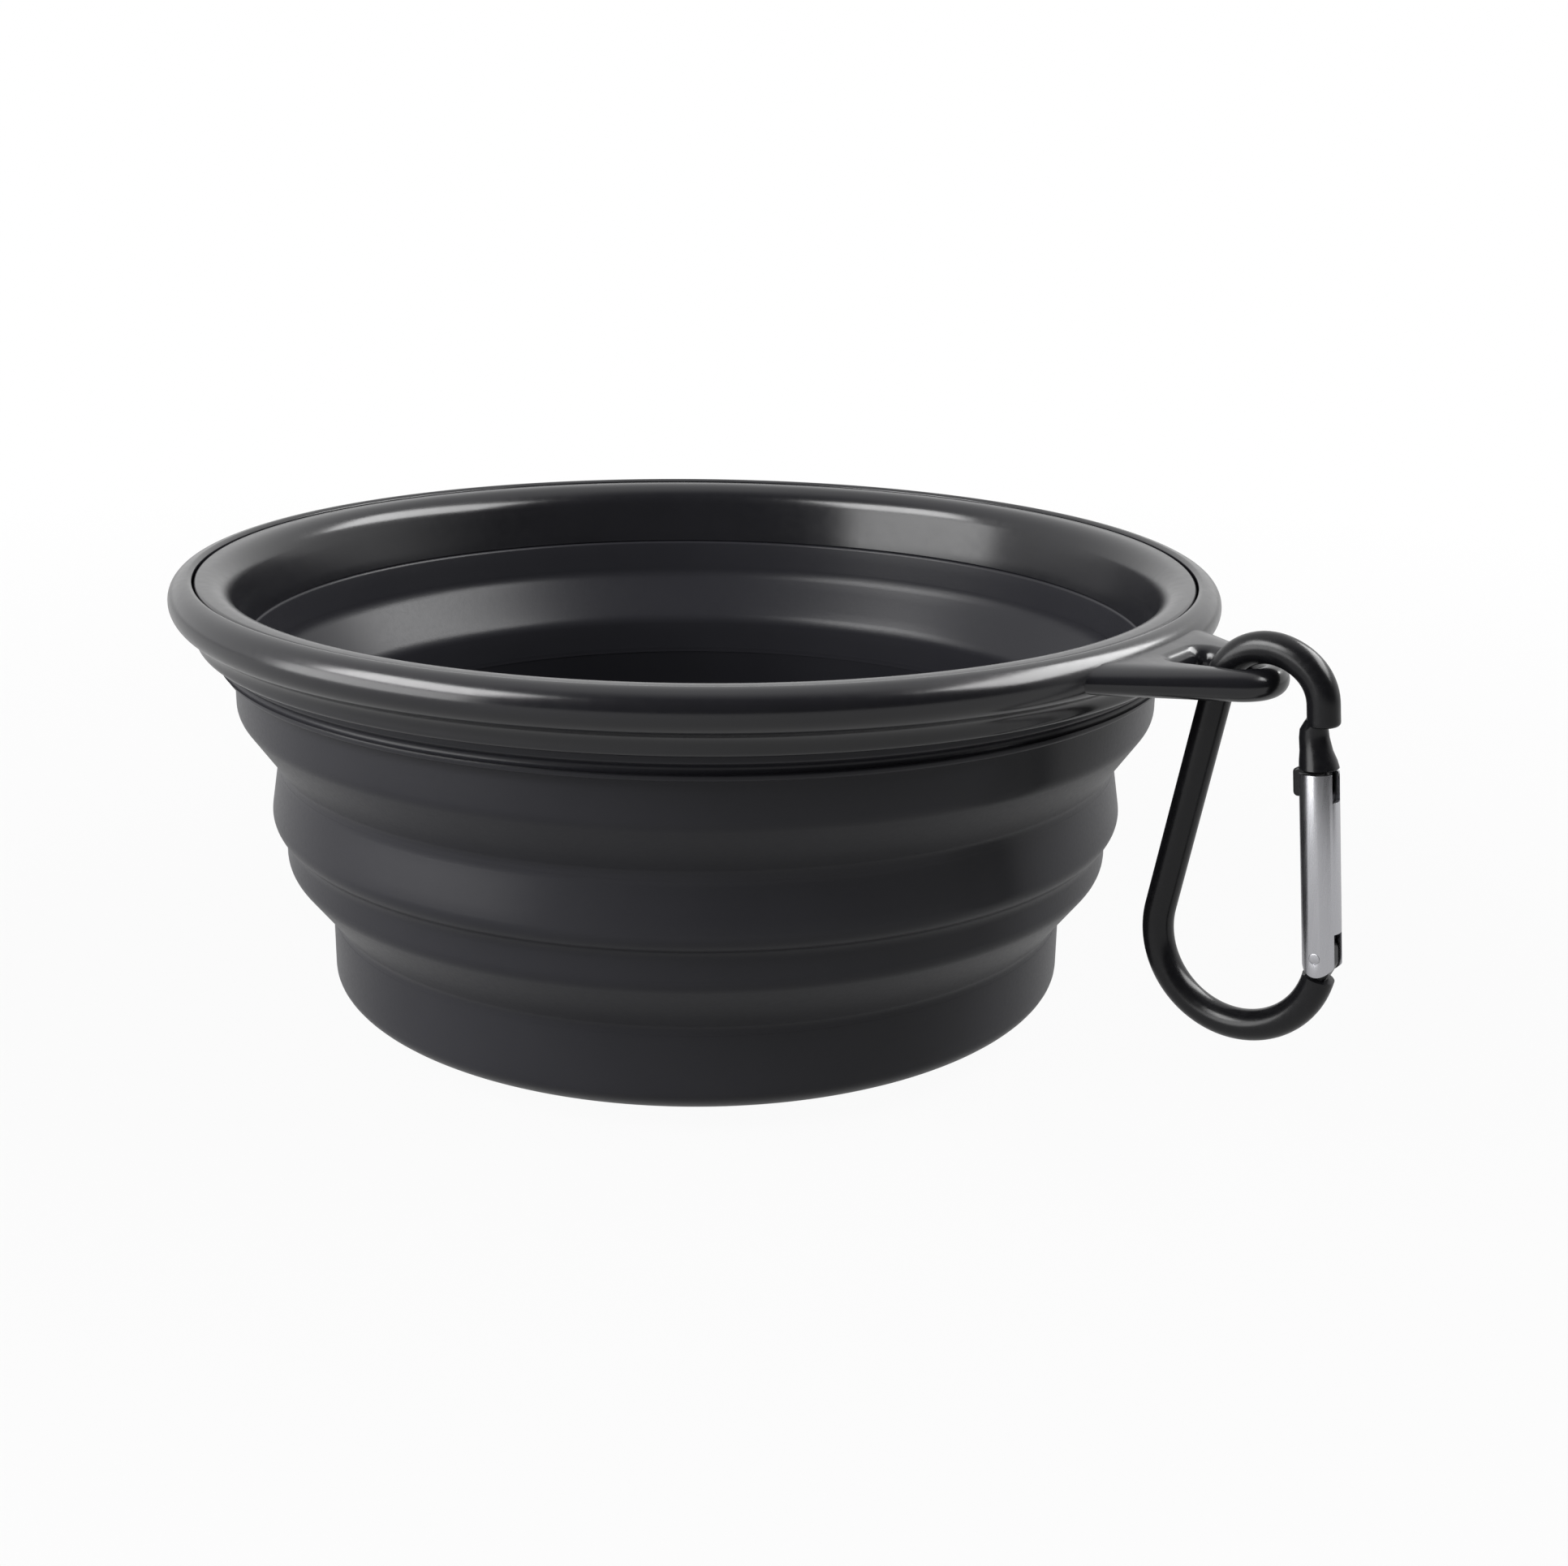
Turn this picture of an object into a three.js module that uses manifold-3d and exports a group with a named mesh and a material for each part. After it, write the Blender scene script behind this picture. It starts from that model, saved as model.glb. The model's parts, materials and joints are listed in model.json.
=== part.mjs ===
// Collapsible pet bowl: a soft folding bowl held in a hard two-part rim, with a carabiner on the rim's lug.
// Millimetres, +Z up. The origin is on the floor under the middle of the base, and the lug points along +X.
import * as THREE from 'three';
import { mergeVertices } from 'three/addons/utils/BufferGeometryUtils.js';
import Module from 'manifold-3d';

// Rim: outer ring with bead and skirt, inner ring with lip, and the gaps between them
const RIM_RADIUS = 65;
const BEAD = 2.5;
const BEAD_OVERHANG = 2.9;
const BEAD_ABOVE_SKIRT = 6.1;
const SKIRT_WALL = 1.8;
const SKIRT_CHAMFER = 0.5;
const SKIRT_ABOVE_LEDGE = 1.5;
const LIP_WIDTH = 3.6;
const LIP_BELOW_BEAD = 0.3;
const LIP_ROUND = 1.3;
const LIP_CHAMFER = 0.3;
const INNER_RING_WALL = 1.4;
const INNER_RING_FOOT = 2.1;
const INNER_RING_TAPER = 2.8;
const RIM_GAP = 0.2;
const TONGUE_TOP_GAP = 0.3;
const GROOVE = 0.2;

// Edge of the soft bowl that stands up between the two rim rings
const TONGUE_WALL = 1.2;
const TONGUE_HEIGHT = 6.5;
const TONGUE_FLARE = 1.4;
const LEDGE_THICKNESS = 1.6;

// Soft bowl, from the rim down: how far each ring steps in, its height, and the walls
const COLLAR_STEP = 2.3;
const COLLAR_HEIGHT = 5;
const UPPER_FOLD_DEPTH = 4.5;
const UPPER_FOLD_HEIGHT = 9.1;
const MIDDLE_DRAFT = 1.1;
const MIDDLE_HEIGHT = 6.7;
const BAND_DEPTH = 1.7;
const BAND_STEP = 1.5;
const BAND_HEIGHT = 2.8;
const LOWER_FOLD_DEPTH = 5.3;
const LOWER_FOLD_HEIGHT = 9.5;
const BASE_HEIGHT = 12.1;
const BASE_CORNER_WIDTH = 18;
const BASE_CORNER_HEIGHT = 5.4;
const FLOOR = 2.2;
const WALL = 2.2;
const FOLD_STRAIGHT = 1.3;

// Lug on the outer ring
const LUG_LENGTH = 14.6;
const LUG_HALF_WIDTH = 15.5;
const LUG_THICKNESS = 3.4;
const LUG_BELOW_BEAD = 0.2;
const LUG_BAR = 3.5;
const LUG_TIP = 5.9;
const LUG_EDGE = 1.2;
const LUG_ROOT_DEPTH = 2;
const LUG_HOLE_START = 2.8;
const LUG_HOLE_HALF_WIDTH = 3.5;
const LUG_HOLE_CORNER = 1.2;

// Carabiner: a bent rod with a narrowed nose and a flat tongue for the gate's pivot
const ROD = 3.5;
const TOP_BEND = 5.7;
const BOTTOM_BEND = 9.75;
const BEND_SPACING = 27.5;
const HANG_GAP = 0.3;
const HANG_TILT = 2;
const SHOULDER = 2.4;
const NECK = 2.7;
const NECK_LENGTH = 3.2;
const FLARE_LENGTH = 1.4;
const NOSE_TONGUE_THICKNESS = 1.5;
const NOSE_TONGUE_DEPTH = 2.7;
const NOSE_TONGUE_OUTSIDE = 1.2;
const NOSE_LIP = 0.6;
const PIVOT_TONGUE_THICKNESS = 1.6;
const PIVOT_TONGUE_WIDTH = 3.2;
const PIVOT_TONGUE_ABOVE_PIN = 1.5;
const ROD_END_BELOW_PIN = 2.7;

// Gate: a slit tube on a rivet, with a spring and a plunger inside
const GATE = 4.2;
const GATE_WALL = 0.7;
const GATE_ABOVE_PIN = 20.1;
const GATE_SLIT = 2;
const GATE_TOP_GAP = 0.3;
const GATE_NOTCH_GAP = 0.4;
const GATE_SLOT_ABOVE_PIN = 2.6;
const PIN = 1.2;
const PIN_RECESS = 0.05;
const PIN_GAP = 0.1;
const PLUNGER = 2.3;
const PLUNGER_LENGTH = 3.5;
const SPRING = 2.3;
const SPRING_WIRE = 0.4;
const SPRING_LENGTH = 7.6;
const SPRING_CURLS = 6;
const SEAT_THICKNESS = 1;
const SEAT_GAP = 0.3;
const PLUNGER_LIFT = 0.8;

// Facets, and how close two points are one point
const RING_SEGMENTS = 48;
const BASE_CORNER_STEPS = 5;
const BEAD_STEPS = 9;
const LIP_STEPS = 4;
const LUG_TIP_STEPS = 8;
const LUG_CORNER_STEPS = 3;
const LUG_EDGE_STEPS = 2;
const ROD_SIDES = 12;
const ROD_STEPS = 60;
const GATE_ARC_STEPS = 14;
const PIN_SIDES = 16;
const SPRING_STEPS_PER_CURL = 8;
const SPRING_SIDES = 5;
const WELD = 1e-4;

const wasm = await Module();
wasm.setup();

// Geometry helpers

function arc(x, y, radius, fromDegrees, toDegrees, steps, height = radius) {
  const points = [];
  for (let i = 0; i <= steps; i += 1) {
    const angle = THREE.MathUtils.degToRad(THREE.MathUtils.lerp(fromDegrees, toDegrees, i / steps));
    points.push([x + radius * Math.cos(angle), y + height * Math.sin(angle)]);
  }
  return points;
}

function corners(outline) {
  return outline.map(([x, y]) => new THREE.Vector2(x, y));
}

function welded(geometry) {
  const bare = geometry.clone();
  bare.deleteAttribute('normal');
  bare.deleteAttribute('uv');
  return mergeVertices(bare, WELD);
}

// A ring or a cup turned about Z from an outline of [radius, height] points, anticlockwise
function turned(outline) {
  return welded(new THREE.LatheGeometry(corners(outline), RING_SEGMENTS).rotateX(Math.PI / 2));
}

function turnedRing(outline) {
  return turned([...outline, outline[0]]);
}

// A round bar along Y, centred on the origin
function crossBar(diameter, length) {
  return new THREE.CylinderGeometry(diameter / 2, diameter / 2, length, PIN_SIDES);
}

// A round bar or cone along Z, from one height to another
function uprightBar(lowDiameter, highDiameter, low, high) {
  const bar = new THREE.CylinderGeometry(highDiameter / 2, lowDiameter / 2, high - low, ROD_SIDES);
  return bar.rotateX(Math.PI / 2).translate(0, 0, (low + high) / 2);
}

function blockBetween(low, high) {
  const block = new THREE.BoxGeometry(high[0] - low[0], high[1] - low[1], high[2] - low[2]);
  return block.translate((low[0] + high[0]) / 2, (low[1] + high[1]) / 2, (low[2] + high[2]) / 2);
}

function solidOf(geometry) {
  const closed = welded(geometry);
  const vertProperties = new Float32Array(closed.attributes.position.array);
  const triVerts = new Uint32Array(closed.index.array);
  return new wasm.Manifold(new wasm.Mesh({ numProp: 3, vertProperties, triVerts }));
}

function joined(geometries) {
  return geometries.map(solidOf).reduce((whole, piece) => whole.add(piece));
}

function cut(solid, geometries) {
  return geometries.map(solidOf).reduce((whole, piece) => whole.subtract(piece), solid);
}

function geometryOf(solid) {
  const { vertProperties, triVerts } = solid.getMesh();
  const geometry = new THREE.BufferGeometry();
  geometry.setAttribute('position', new THREE.BufferAttribute(vertProperties, 3));
  geometry.setIndex(new THREE.BufferAttribute(triVerts, 1));
  geometry.computeVertexNormals();
  return geometry;
}

function piece(name, geometry, material) {
  const mesh = new THREE.Mesh(geometry, material);
  mesh.name = name;
  return mesh;
}

// Materials

function finish(color, roughness, metalness) {
  return new THREE.MeshStandardMaterial({ color, roughness, metalness });
}

const softCharcoal = () => finish('#3b3b40', 0.6, 0);
const glossCharcoal = () => finish('#2f2f34', 0.25, 0);
const blackAnodised = () => finish('#18181b', 0.3, 0.7);
const satinAluminium = () => finish('#b8b8bd', 0.35, 1);
const steel = () => finish('#9a9ca0', 0.4, 1);

// Soft bowl: one moulding, in the zones that stay stiff and the two folds between them

const SKIRT_RADIUS = RIM_RADIUS - BEAD_OVERHANG;
const TONGUE_RADIUS = SKIRT_RADIUS - SKIRT_WALL - RIM_GAP;
const TONGUE_INSIDE = TONGUE_RADIUS - TONGUE_WALL;
const COLLAR_RADIUS = TONGUE_RADIUS - COLLAR_STEP;
const MIDDLE_TOP_RADIUS = COLLAR_RADIUS - UPPER_FOLD_DEPTH;
const MIDDLE_RADIUS = MIDDLE_TOP_RADIUS + MIDDLE_DRAFT;
const BAND_RADIUS = MIDDLE_RADIUS - BAND_DEPTH;
const BASE_RADIUS = BAND_RADIUS - LOWER_FOLD_DEPTH;
const LOWER_FOLD_Z = BASE_HEIGHT;
const MIDDLE_Z = LOWER_FOLD_Z + LOWER_FOLD_HEIGHT;
const UPPER_FOLD_Z = MIDDLE_Z + BAND_HEIGHT + BAND_STEP + MIDDLE_HEIGHT;
const COLLAR_Z = UPPER_FOLD_Z + UPPER_FOLD_HEIGHT;
const LEDGE_Z = COLLAR_Z + COLLAR_HEIGHT;
const LEDGE_TOP_Z = LEDGE_Z + LEDGE_THICKNESS;
const TONGUE_TOP_Z = LEDGE_Z + TONGUE_HEIGHT;

function baseCup() {
  const middle = BASE_RADIUS - BASE_CORNER_WIDTH;
  const corner = (bottom, width, from, to) =>
    arc(middle, bottom + BASE_CORNER_HEIGHT, width, from, to, BASE_CORNER_STEPS, BASE_CORNER_HEIGHT);
  return turned([
    [0, 0],
    ...corner(0, BASE_CORNER_WIDTH, -90, 0),
    [BASE_RADIUS, BASE_HEIGHT],
    [BASE_RADIUS - WALL, BASE_HEIGHT],
    ...corner(FLOOR, BASE_CORNER_WIDTH - WALL, 0, -90),
    [0, FLOOR],
  ]);
}

// A sloping web between two walls, straight outside for a little way at each end
function fold(lowRadius, highRadius, low, high) {
  return turnedRing([
    [lowRadius - WALL, low],
    [lowRadius, low],
    [lowRadius, low + FOLD_STRAIGHT],
    [highRadius, high - FOLD_STRAIGHT],
    [highRadius, high],
    [highRadius - WALL, high],
    [lowRadius - WALL, low + 2 * FOLD_STRAIGHT],
  ]);
}

function middleWall() {
  const bandTop = MIDDLE_Z + BAND_HEIGHT;
  const wallStart = bandTop + BAND_STEP;
  return turnedRing([
    [BAND_RADIUS - WALL, MIDDLE_Z],
    [BAND_RADIUS, MIDDLE_Z],
    [BAND_RADIUS, bandTop],
    [MIDDLE_RADIUS, wallStart],
    [MIDDLE_TOP_RADIUS, UPPER_FOLD_Z],
    [MIDDLE_TOP_RADIUS - WALL, UPPER_FOLD_Z],
    [MIDDLE_RADIUS - WALL, wallStart],
    [BAND_RADIUS - WALL, bandTop],
  ]);
}

function upperWall() {
  return turnedRing([
    [COLLAR_RADIUS - WALL, COLLAR_Z],
    [COLLAR_RADIUS, COLLAR_Z],
    [COLLAR_RADIUS, LEDGE_Z],
    [TONGUE_RADIUS, LEDGE_Z + TONGUE_FLARE],
    [TONGUE_RADIUS, TONGUE_TOP_Z],
    [TONGUE_INSIDE, TONGUE_TOP_Z],
    [TONGUE_INSIDE, LEDGE_TOP_Z],
    [COLLAR_RADIUS - WALL, LEDGE_TOP_Z],
  ]);
}

// Rim: the outer ring carries the lug, and the inner ring clamps the soft bowl's edge in it

const SKIRT_Z = LEDGE_Z + SKIRT_ABOVE_LEDGE;
const BEAD_Z = SKIRT_Z + BEAD_ABOVE_SKIRT;
const BEAD_CENTRE = RIM_RADIUS - BEAD;
const SHELF_Z = TONGUE_TOP_Z + TONGUE_TOP_GAP;
const LIP_Z = BEAD_Z + BEAD - LIP_BELOW_BEAD;
const LIP_EDGE = BEAD_CENTRE - LIP_CHAMFER;
const LUG_Z = BEAD_Z - LUG_BELOW_BEAD;
const LUG_REACH = RIM_RADIUS + LUG_LENGTH;

function outerRingBody() {
  const beadStart = -THREE.MathUtils.radToDeg(Math.acos((SKIRT_RADIUS - BEAD_CENTRE) / BEAD));
  const inside = TONGUE_RADIUS + RIM_GAP;
  return turnedRing([
    [inside, SKIRT_Z],
    [SKIRT_RADIUS - SKIRT_CHAMFER, SKIRT_Z],
    [SKIRT_RADIUS, SKIRT_Z + SKIRT_CHAMFER],
    ...arc(BEAD_CENTRE, BEAD_Z, BEAD, beadStart, 90, BEAD_STEPS),
    [LIP_EDGE, LIP_Z],
    [LIP_EDGE, SHELF_Z],
    [inside, SHELF_Z],
  ]);
}

// Triangular tab with a rounded tip and a hole, lying flat with rounded edges
function lug() {
  const { radToDeg } = THREE.MathUtils;
  const tipCentre = LUG_REACH - LUG_TIP;
  const root = RIM_RADIUS - LUG_ROOT_DEPTH;
  const rootAngle = radToDeg(Math.asin(LUG_HALF_WIDTH / root));
  const rootX = root * Math.cos(Math.asin(LUG_HALF_WIDTH / root)) - tipCentre;
  const toRoot = Math.atan2(LUG_HALF_WIDTH, rootX);
  const tangent = radToDeg(toRoot - Math.acos(LUG_TIP / Math.hypot(LUG_HALF_WIDTH, rootX)));
  const shape = new THREE.Shape(
    corners([
      ...arc(tipCentre, 0, LUG_TIP, -tangent, tangent, LUG_TIP_STEPS),
      ...arc(0, 0, root, rootAngle, -rootAngle, LUG_TIP_STEPS),
    ]),
  );
  shape.holes.push(new THREE.Path(corners(lugHole(tipCentre))));
  const tab = new THREE.ExtrudeGeometry(shape, {
    depth: LUG_THICKNESS - 2 * LUG_EDGE,
    bevelThickness: LUG_EDGE,
    bevelSize: LUG_EDGE,
    bevelOffset: -LUG_EDGE,
    bevelSegments: LUG_EDGE_STEPS,
  });
  return tab.translate(0, 0, LUG_Z - LUG_THICKNESS / 2 + LUG_EDGE);
}

function lugHole(tipCentre) {
  const cornerX = RIM_RADIUS + LUG_HOLE_START + LUG_HOLE_CORNER;
  const cornerY = LUG_HOLE_HALF_WIDTH - LUG_HOLE_CORNER;
  return [
    ...arc(tipCentre, 0, LUG_TIP - LUG_BAR, 90, -90, LUG_TIP_STEPS),
    ...arc(cornerX, -cornerY, LUG_HOLE_CORNER, -90, -180, LUG_CORNER_STEPS),
    ...arc(cornerX, cornerY, LUG_HOLE_CORNER, 180, 90, LUG_CORNER_STEPS),
  ];
}

function rimRing() {
  return geometryOf(joined([outerRingBody(), lug()]));
}

function innerRimRing() {
  const outside = TONGUE_INSIDE - RIM_GAP;
  const lipOutside = LIP_EDGE - GROOVE;
  const lipInside = lipOutside - LIP_WIDTH;
  return turnedRing([
    [outside - INNER_RING_FOOT, LEDGE_TOP_Z],
    [outside - INNER_RING_FOOT + INNER_RING_WALL, LEDGE_TOP_Z],
    [outside, LEDGE_TOP_Z + INNER_RING_TAPER],
    [outside, SHELF_Z],
    [lipOutside, SHELF_Z],
    [lipOutside, LIP_Z - LIP_CHAMFER],
    [lipOutside - LIP_CHAMFER, LIP_Z],
    ...arc(lipInside + LIP_ROUND, LIP_Z - LIP_ROUND, LIP_ROUND, 90, 180, LIP_STEPS),
    [outside - INNER_RING_WALL, SHELF_Z - INNER_RING_WALL],
  ]);
}

// Carabiner, in the upright plane through the lug, measured from the middle of the lug's tip bar.
// Two bends of unlike radius are joined by straight sides, and the gate closes the outer side.

const SIDE_ANGLE = Math.asin((BOTTOM_BEND - TOP_BEND) / BEND_SPACING);
const SIDE_LENGTH = BEND_SPACING * Math.cos(SIDE_ANGLE);
const TOP_CENTRE = LUG_THICKNESS / 2 + HANG_GAP - (TOP_BEND - ROD / 2);
const BOTTOM_CENTRE = TOP_CENTRE - BEND_SPACING;
const NOSE_END = SHOULDER + NECK_LENGTH + FLARE_LENGTH;
const PIN_BELOW_BEND = NOSE_END + GATE_TOP_GAP + GATE_ABOVE_PIN;
const THROUGH_GATE = 3 * GATE;
const PIN_X = TOP_BEND * Math.cos(SIDE_ANGLE) + PIN_BELOW_BEND * Math.sin(SIDE_ANGLE);
const PIN_Z = TOP_CENTRE + TOP_BEND * Math.sin(SIDE_ANGLE) - PIN_BELOW_BEND * Math.cos(SIDE_ANGLE);

// From the gate's own frame, with its pin at the origin and its length along Z, to the carabiner's
const gatePlace = new THREE.Matrix4().makeRotationY(-SIDE_ANGLE).setPosition(PIN_X, 0, PIN_Z);

// Straight side and bend of the rod's middle line
class RodBend extends THREE.Curve {
  constructor(height, radius, from, to) {
    super();
    Object.assign(this, { height, radius, from, to });
  }

  getPoint(t, target = new THREE.Vector3()) {
    const angle = THREE.MathUtils.lerp(this.from, this.to, t);
    return target.set(this.radius * Math.cos(angle), 0, this.height + this.radius * Math.sin(angle));
  }
}

function rodLine() {
  const endAngle = (PIN_BELOW_BEND + ROD_END_BELOW_PIN - SIDE_LENGTH) / BOTTOM_BEND;
  const arch = new RodBend(TOP_CENTRE, TOP_BEND, SIDE_ANGLE, Math.PI - SIDE_ANGLE);
  const foot = new RodBend(BOTTOM_CENTRE, BOTTOM_BEND, Math.PI - SIDE_ANGLE, 2 * Math.PI + SIDE_ANGLE - endAngle);
  const shoulder = arch.getPoint(0).addScaledVector(arch.getTangent(0), -SHOULDER);
  const line = new THREE.CurvePath();
  line.add(new THREE.LineCurve3(shoulder, arch.getPoint(0)));
  line.add(arch);
  line.add(new THREE.LineCurve3(arch.getPoint(1), foot.getPoint(0)));
  line.add(foot);
  return line;
}

function circleSection(diameter, sides) {
  return new THREE.Shape(corners(arc(0, 0, diameter / 2, 0, 360, sides).slice(0, sides)));
}

function carabinerBody() {
  const rod = new THREE.ExtrudeGeometry(circleSection(ROD, ROD_SIDES), {
    steps: ROD_STEPS,
    extrudePath: rodLine(),
  });
  const flareLow = GATE_ABOVE_PIN + GATE_TOP_GAP;
  const flareHigh = flareLow + FLARE_LENGTH;
  const neck = uprightBar(NECK, NECK, flareHigh, flareHigh + NECK_LENGTH + SHOULDER / 2);
  const flare = uprightBar(GATE, NECK, flareLow, flareHigh);
  const noseTongue = blockBetween(
    [-GATE / 2 - NOSE_LIP, -NOSE_TONGUE_THICKNESS / 2, GATE_ABOVE_PIN - NOSE_TONGUE_DEPTH],
    [NOSE_TONGUE_OUTSIDE, NOSE_TONGUE_THICKNESS / 2, flareLow + FLARE_LENGTH / 2],
  );
  const pivotTongue = blockBetween(
    [-PIVOT_TONGUE_WIDTH / 2, -PIVOT_TONGUE_THICKNESS / 2, -ROD_END_BELOW_PIN - ROD / 2],
    [PIVOT_TONGUE_WIDTH / 2, PIVOT_TONGUE_THICKNESS / 2, PIVOT_TONGUE_ABOVE_PIN],
  );
  const pinHole = crossBar(PIN + 2 * PIN_GAP, THROUGH_GATE).applyMatrix4(gatePlace);
  const ends = [neck, flare, noseTongue, pivotTongue].map((end) => end.applyMatrix4(gatePlace));
  return geometryOf(cut(joined([rod, ...ends]), [pinHole]));
}

// Gate and what it holds, in the gate's own frame

const PLUNGER_Z = PIVOT_TONGUE_ABOVE_PIN + PLUNGER_LIFT;
const SPRING_Z = PLUNGER_Z + PLUNGER_LENGTH + SEAT_GAP;
const SEAT_Z = SPRING_Z + SPRING_LENGTH + SEAT_GAP;

// Slit tube with rounded ears at the pin, a notch for the nose, slots for the rod's tongue and a spring seat
function carabinerGate() {
  const bore = GATE / 2 - GATE_WALL;
  const outerSlit = THREE.MathUtils.radToDeg(Math.asin(GATE_SLIT / GATE));
  const innerSlit = THREE.MathUtils.radToDeg(Math.asin(GATE_SLIT / 2 / bore));
  const section = new THREE.Shape(
    corners([
      ...arc(0, 0, GATE / 2, outerSlit - 180, 180 - outerSlit, GATE_ARC_STEPS),
      ...arc(0, 0, bore, 180 - innerSlit, innerSlit - 180, GATE_ARC_STEPS),
    ]),
  );
  const tube = new THREE.ExtrudeGeometry(section, { depth: GATE_ABOVE_PIN + GATE / 2, bevelEnabled: false });
  const seat = uprightBar(2 * bore + GATE_WALL, 2 * bore + GATE_WALL, SEAT_Z, SEAT_Z + SEAT_THICKNESS);
  const roundEars = solidOf(blockBetween([-GATE, -GATE, -GATE], [GATE, GATE, 0])).subtract(
    solidOf(crossBar(GATE, THROUGH_GATE)),
  );
  const slot = (low, high) => blockBetween([0, -GATE_SLIT / 2, low], [GATE, GATE_SLIT / 2, high]);
  const noseBottom = GATE_ABOVE_PIN - NOSE_TONGUE_DEPTH;
  const whole = joined([tube.translate(0, 0, -GATE / 2), seat]).subtract(roundEars);
  return geometryOf(
    cut(whole, [
      slot(noseBottom - GATE_NOTCH_GAP, GATE_ABOVE_PIN + GATE),
      slot(-GATE, GATE_SLOT_ABOVE_PIN),
      crossBar(PIN + 2 * PIN_GAP, THROUGH_GATE),
    ]),
  );
}

class SpringLine extends THREE.Curve {
  getPoint(t, target = new THREE.Vector3()) {
    const angle = 2 * Math.PI * SPRING_CURLS * t;
    const radius = (SPRING - SPRING_WIRE) / 2;
    const rise = SPRING_LENGTH - SPRING_WIRE;
    const height = SPRING_Z + SPRING_WIRE / 2 + rise * t;
    return target.set(radius * Math.cos(angle), radius * Math.sin(angle), height);
  }
}

// Least gap between the spring's own curls, over points more than half a curl apart
function springGap(line) {
  const points = line.getSpacedPoints(SPRING_CURLS * SPRING_STEPS_PER_CURL);
  let least = Infinity;
  points.forEach((point, i) => {
    points.slice(i + 1 + SPRING_STEPS_PER_CURL / 2).forEach((other) => {
      least = Math.min(least, point.distanceTo(other));
    });
  });
  return least - SPRING_WIRE;
}

function gateSpring() {
  const line = new SpringLine();
  console.log(`gate_spring: least gap between curls ${springGap(line).toFixed(2)} mm`);
  return new THREE.ExtrudeGeometry(circleSection(SPRING_WIRE, SPRING_SIDES), {
    steps: SPRING_CURLS * SPRING_STEPS_PER_CURL,
    extrudePath: line,
  });
}

// Assembly

const bowl = new THREE.Group();
bowl.add(
  piece('base_cup', baseCup(), softCharcoal()),
  piece('lower_fold', fold(BASE_RADIUS, BAND_RADIUS, LOWER_FOLD_Z, MIDDLE_Z), softCharcoal()),
  piece('middle_wall', middleWall(), softCharcoal()),
  piece('upper_fold', fold(MIDDLE_TOP_RADIUS, COLLAR_RADIUS, UPPER_FOLD_Z, COLLAR_Z), softCharcoal()),
  piece('upper_wall', upperWall(), softCharcoal()),
  piece('rim_ring', rimRing(), glossCharcoal()),
  piece('inner_rim_ring', innerRimRing(), glossCharcoal()),
);

const gate = new THREE.Group();
gate.applyMatrix4(gatePlace);
gate.add(
  piece('carabiner_gate', carabinerGate(), satinAluminium()),
  piece('gate_hinge_pin', crossBar(PIN, GATE - 2 * PIN_RECESS), steel()),
  piece('spring_plunger', uprightBar(PLUNGER, PLUNGER, PLUNGER_Z, PLUNGER_Z + PLUNGER_LENGTH), steel()),
  piece('gate_spring', gateSpring(), steel()),
);

const carabiner = new THREE.Group();
carabiner.position.set(LUG_REACH - LUG_BAR / 2, 0, LUG_Z);
carabiner.rotation.y = THREE.MathUtils.degToRad(HANG_TILT);
carabiner.add(piece('carabiner_body', carabinerBody(), blackAnodised()), gate);
bowl.add(carabiner);

export default bowl;
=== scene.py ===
"""Looks of a collapsible pet bowl: a soft folding bowl in a hard rim, with a carabiner on the rim's lug."""

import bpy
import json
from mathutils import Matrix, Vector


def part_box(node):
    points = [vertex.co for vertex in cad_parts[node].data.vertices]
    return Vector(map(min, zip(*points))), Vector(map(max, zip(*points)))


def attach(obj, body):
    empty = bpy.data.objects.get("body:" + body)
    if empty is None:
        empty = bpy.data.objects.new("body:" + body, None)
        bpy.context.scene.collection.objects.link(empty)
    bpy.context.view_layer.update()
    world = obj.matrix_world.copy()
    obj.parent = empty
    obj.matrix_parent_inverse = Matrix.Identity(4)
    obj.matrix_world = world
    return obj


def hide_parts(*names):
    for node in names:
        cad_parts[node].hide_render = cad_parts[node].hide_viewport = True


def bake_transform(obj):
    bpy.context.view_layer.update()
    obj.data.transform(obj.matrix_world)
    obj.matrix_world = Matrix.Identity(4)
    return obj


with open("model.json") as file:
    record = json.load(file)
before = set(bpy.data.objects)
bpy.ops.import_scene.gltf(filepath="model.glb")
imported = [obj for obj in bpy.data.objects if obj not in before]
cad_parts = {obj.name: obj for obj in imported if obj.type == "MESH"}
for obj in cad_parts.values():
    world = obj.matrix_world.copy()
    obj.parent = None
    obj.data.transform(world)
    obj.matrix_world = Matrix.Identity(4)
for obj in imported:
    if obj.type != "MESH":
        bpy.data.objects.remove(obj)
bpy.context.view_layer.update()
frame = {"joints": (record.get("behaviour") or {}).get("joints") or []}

import json
import math

import bmesh
import bpy
from mathutils import Matrix, Vector

# Base of the soft bowl
# One moulding of soft thermoplastic rubber is the whole bowl; its base is a shallow cup with a flat foot.
# It is moulded in one shot, so its parts run into each other with no visible joint.

# The object's sizes are in mm, and its meshes are made in metres
MM = 0.001
TURNING_RADIUS = 50 * MM
RING_SEGMENTS = 224
FILLET_STEP = math.radians(9)
POINT_SPACING = 1.6
MERGE_DISTANCE = 0.0005
SHARP_ANGLE = math.radians(50)
WALL = 2.2
BOWL_FLOOR = 2.2
FOOT_RADIUS = 29.4
CORNER_HEIGHT = 5.4
CORNER_STEPS = 24
OVERLAP = 0.4


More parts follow.
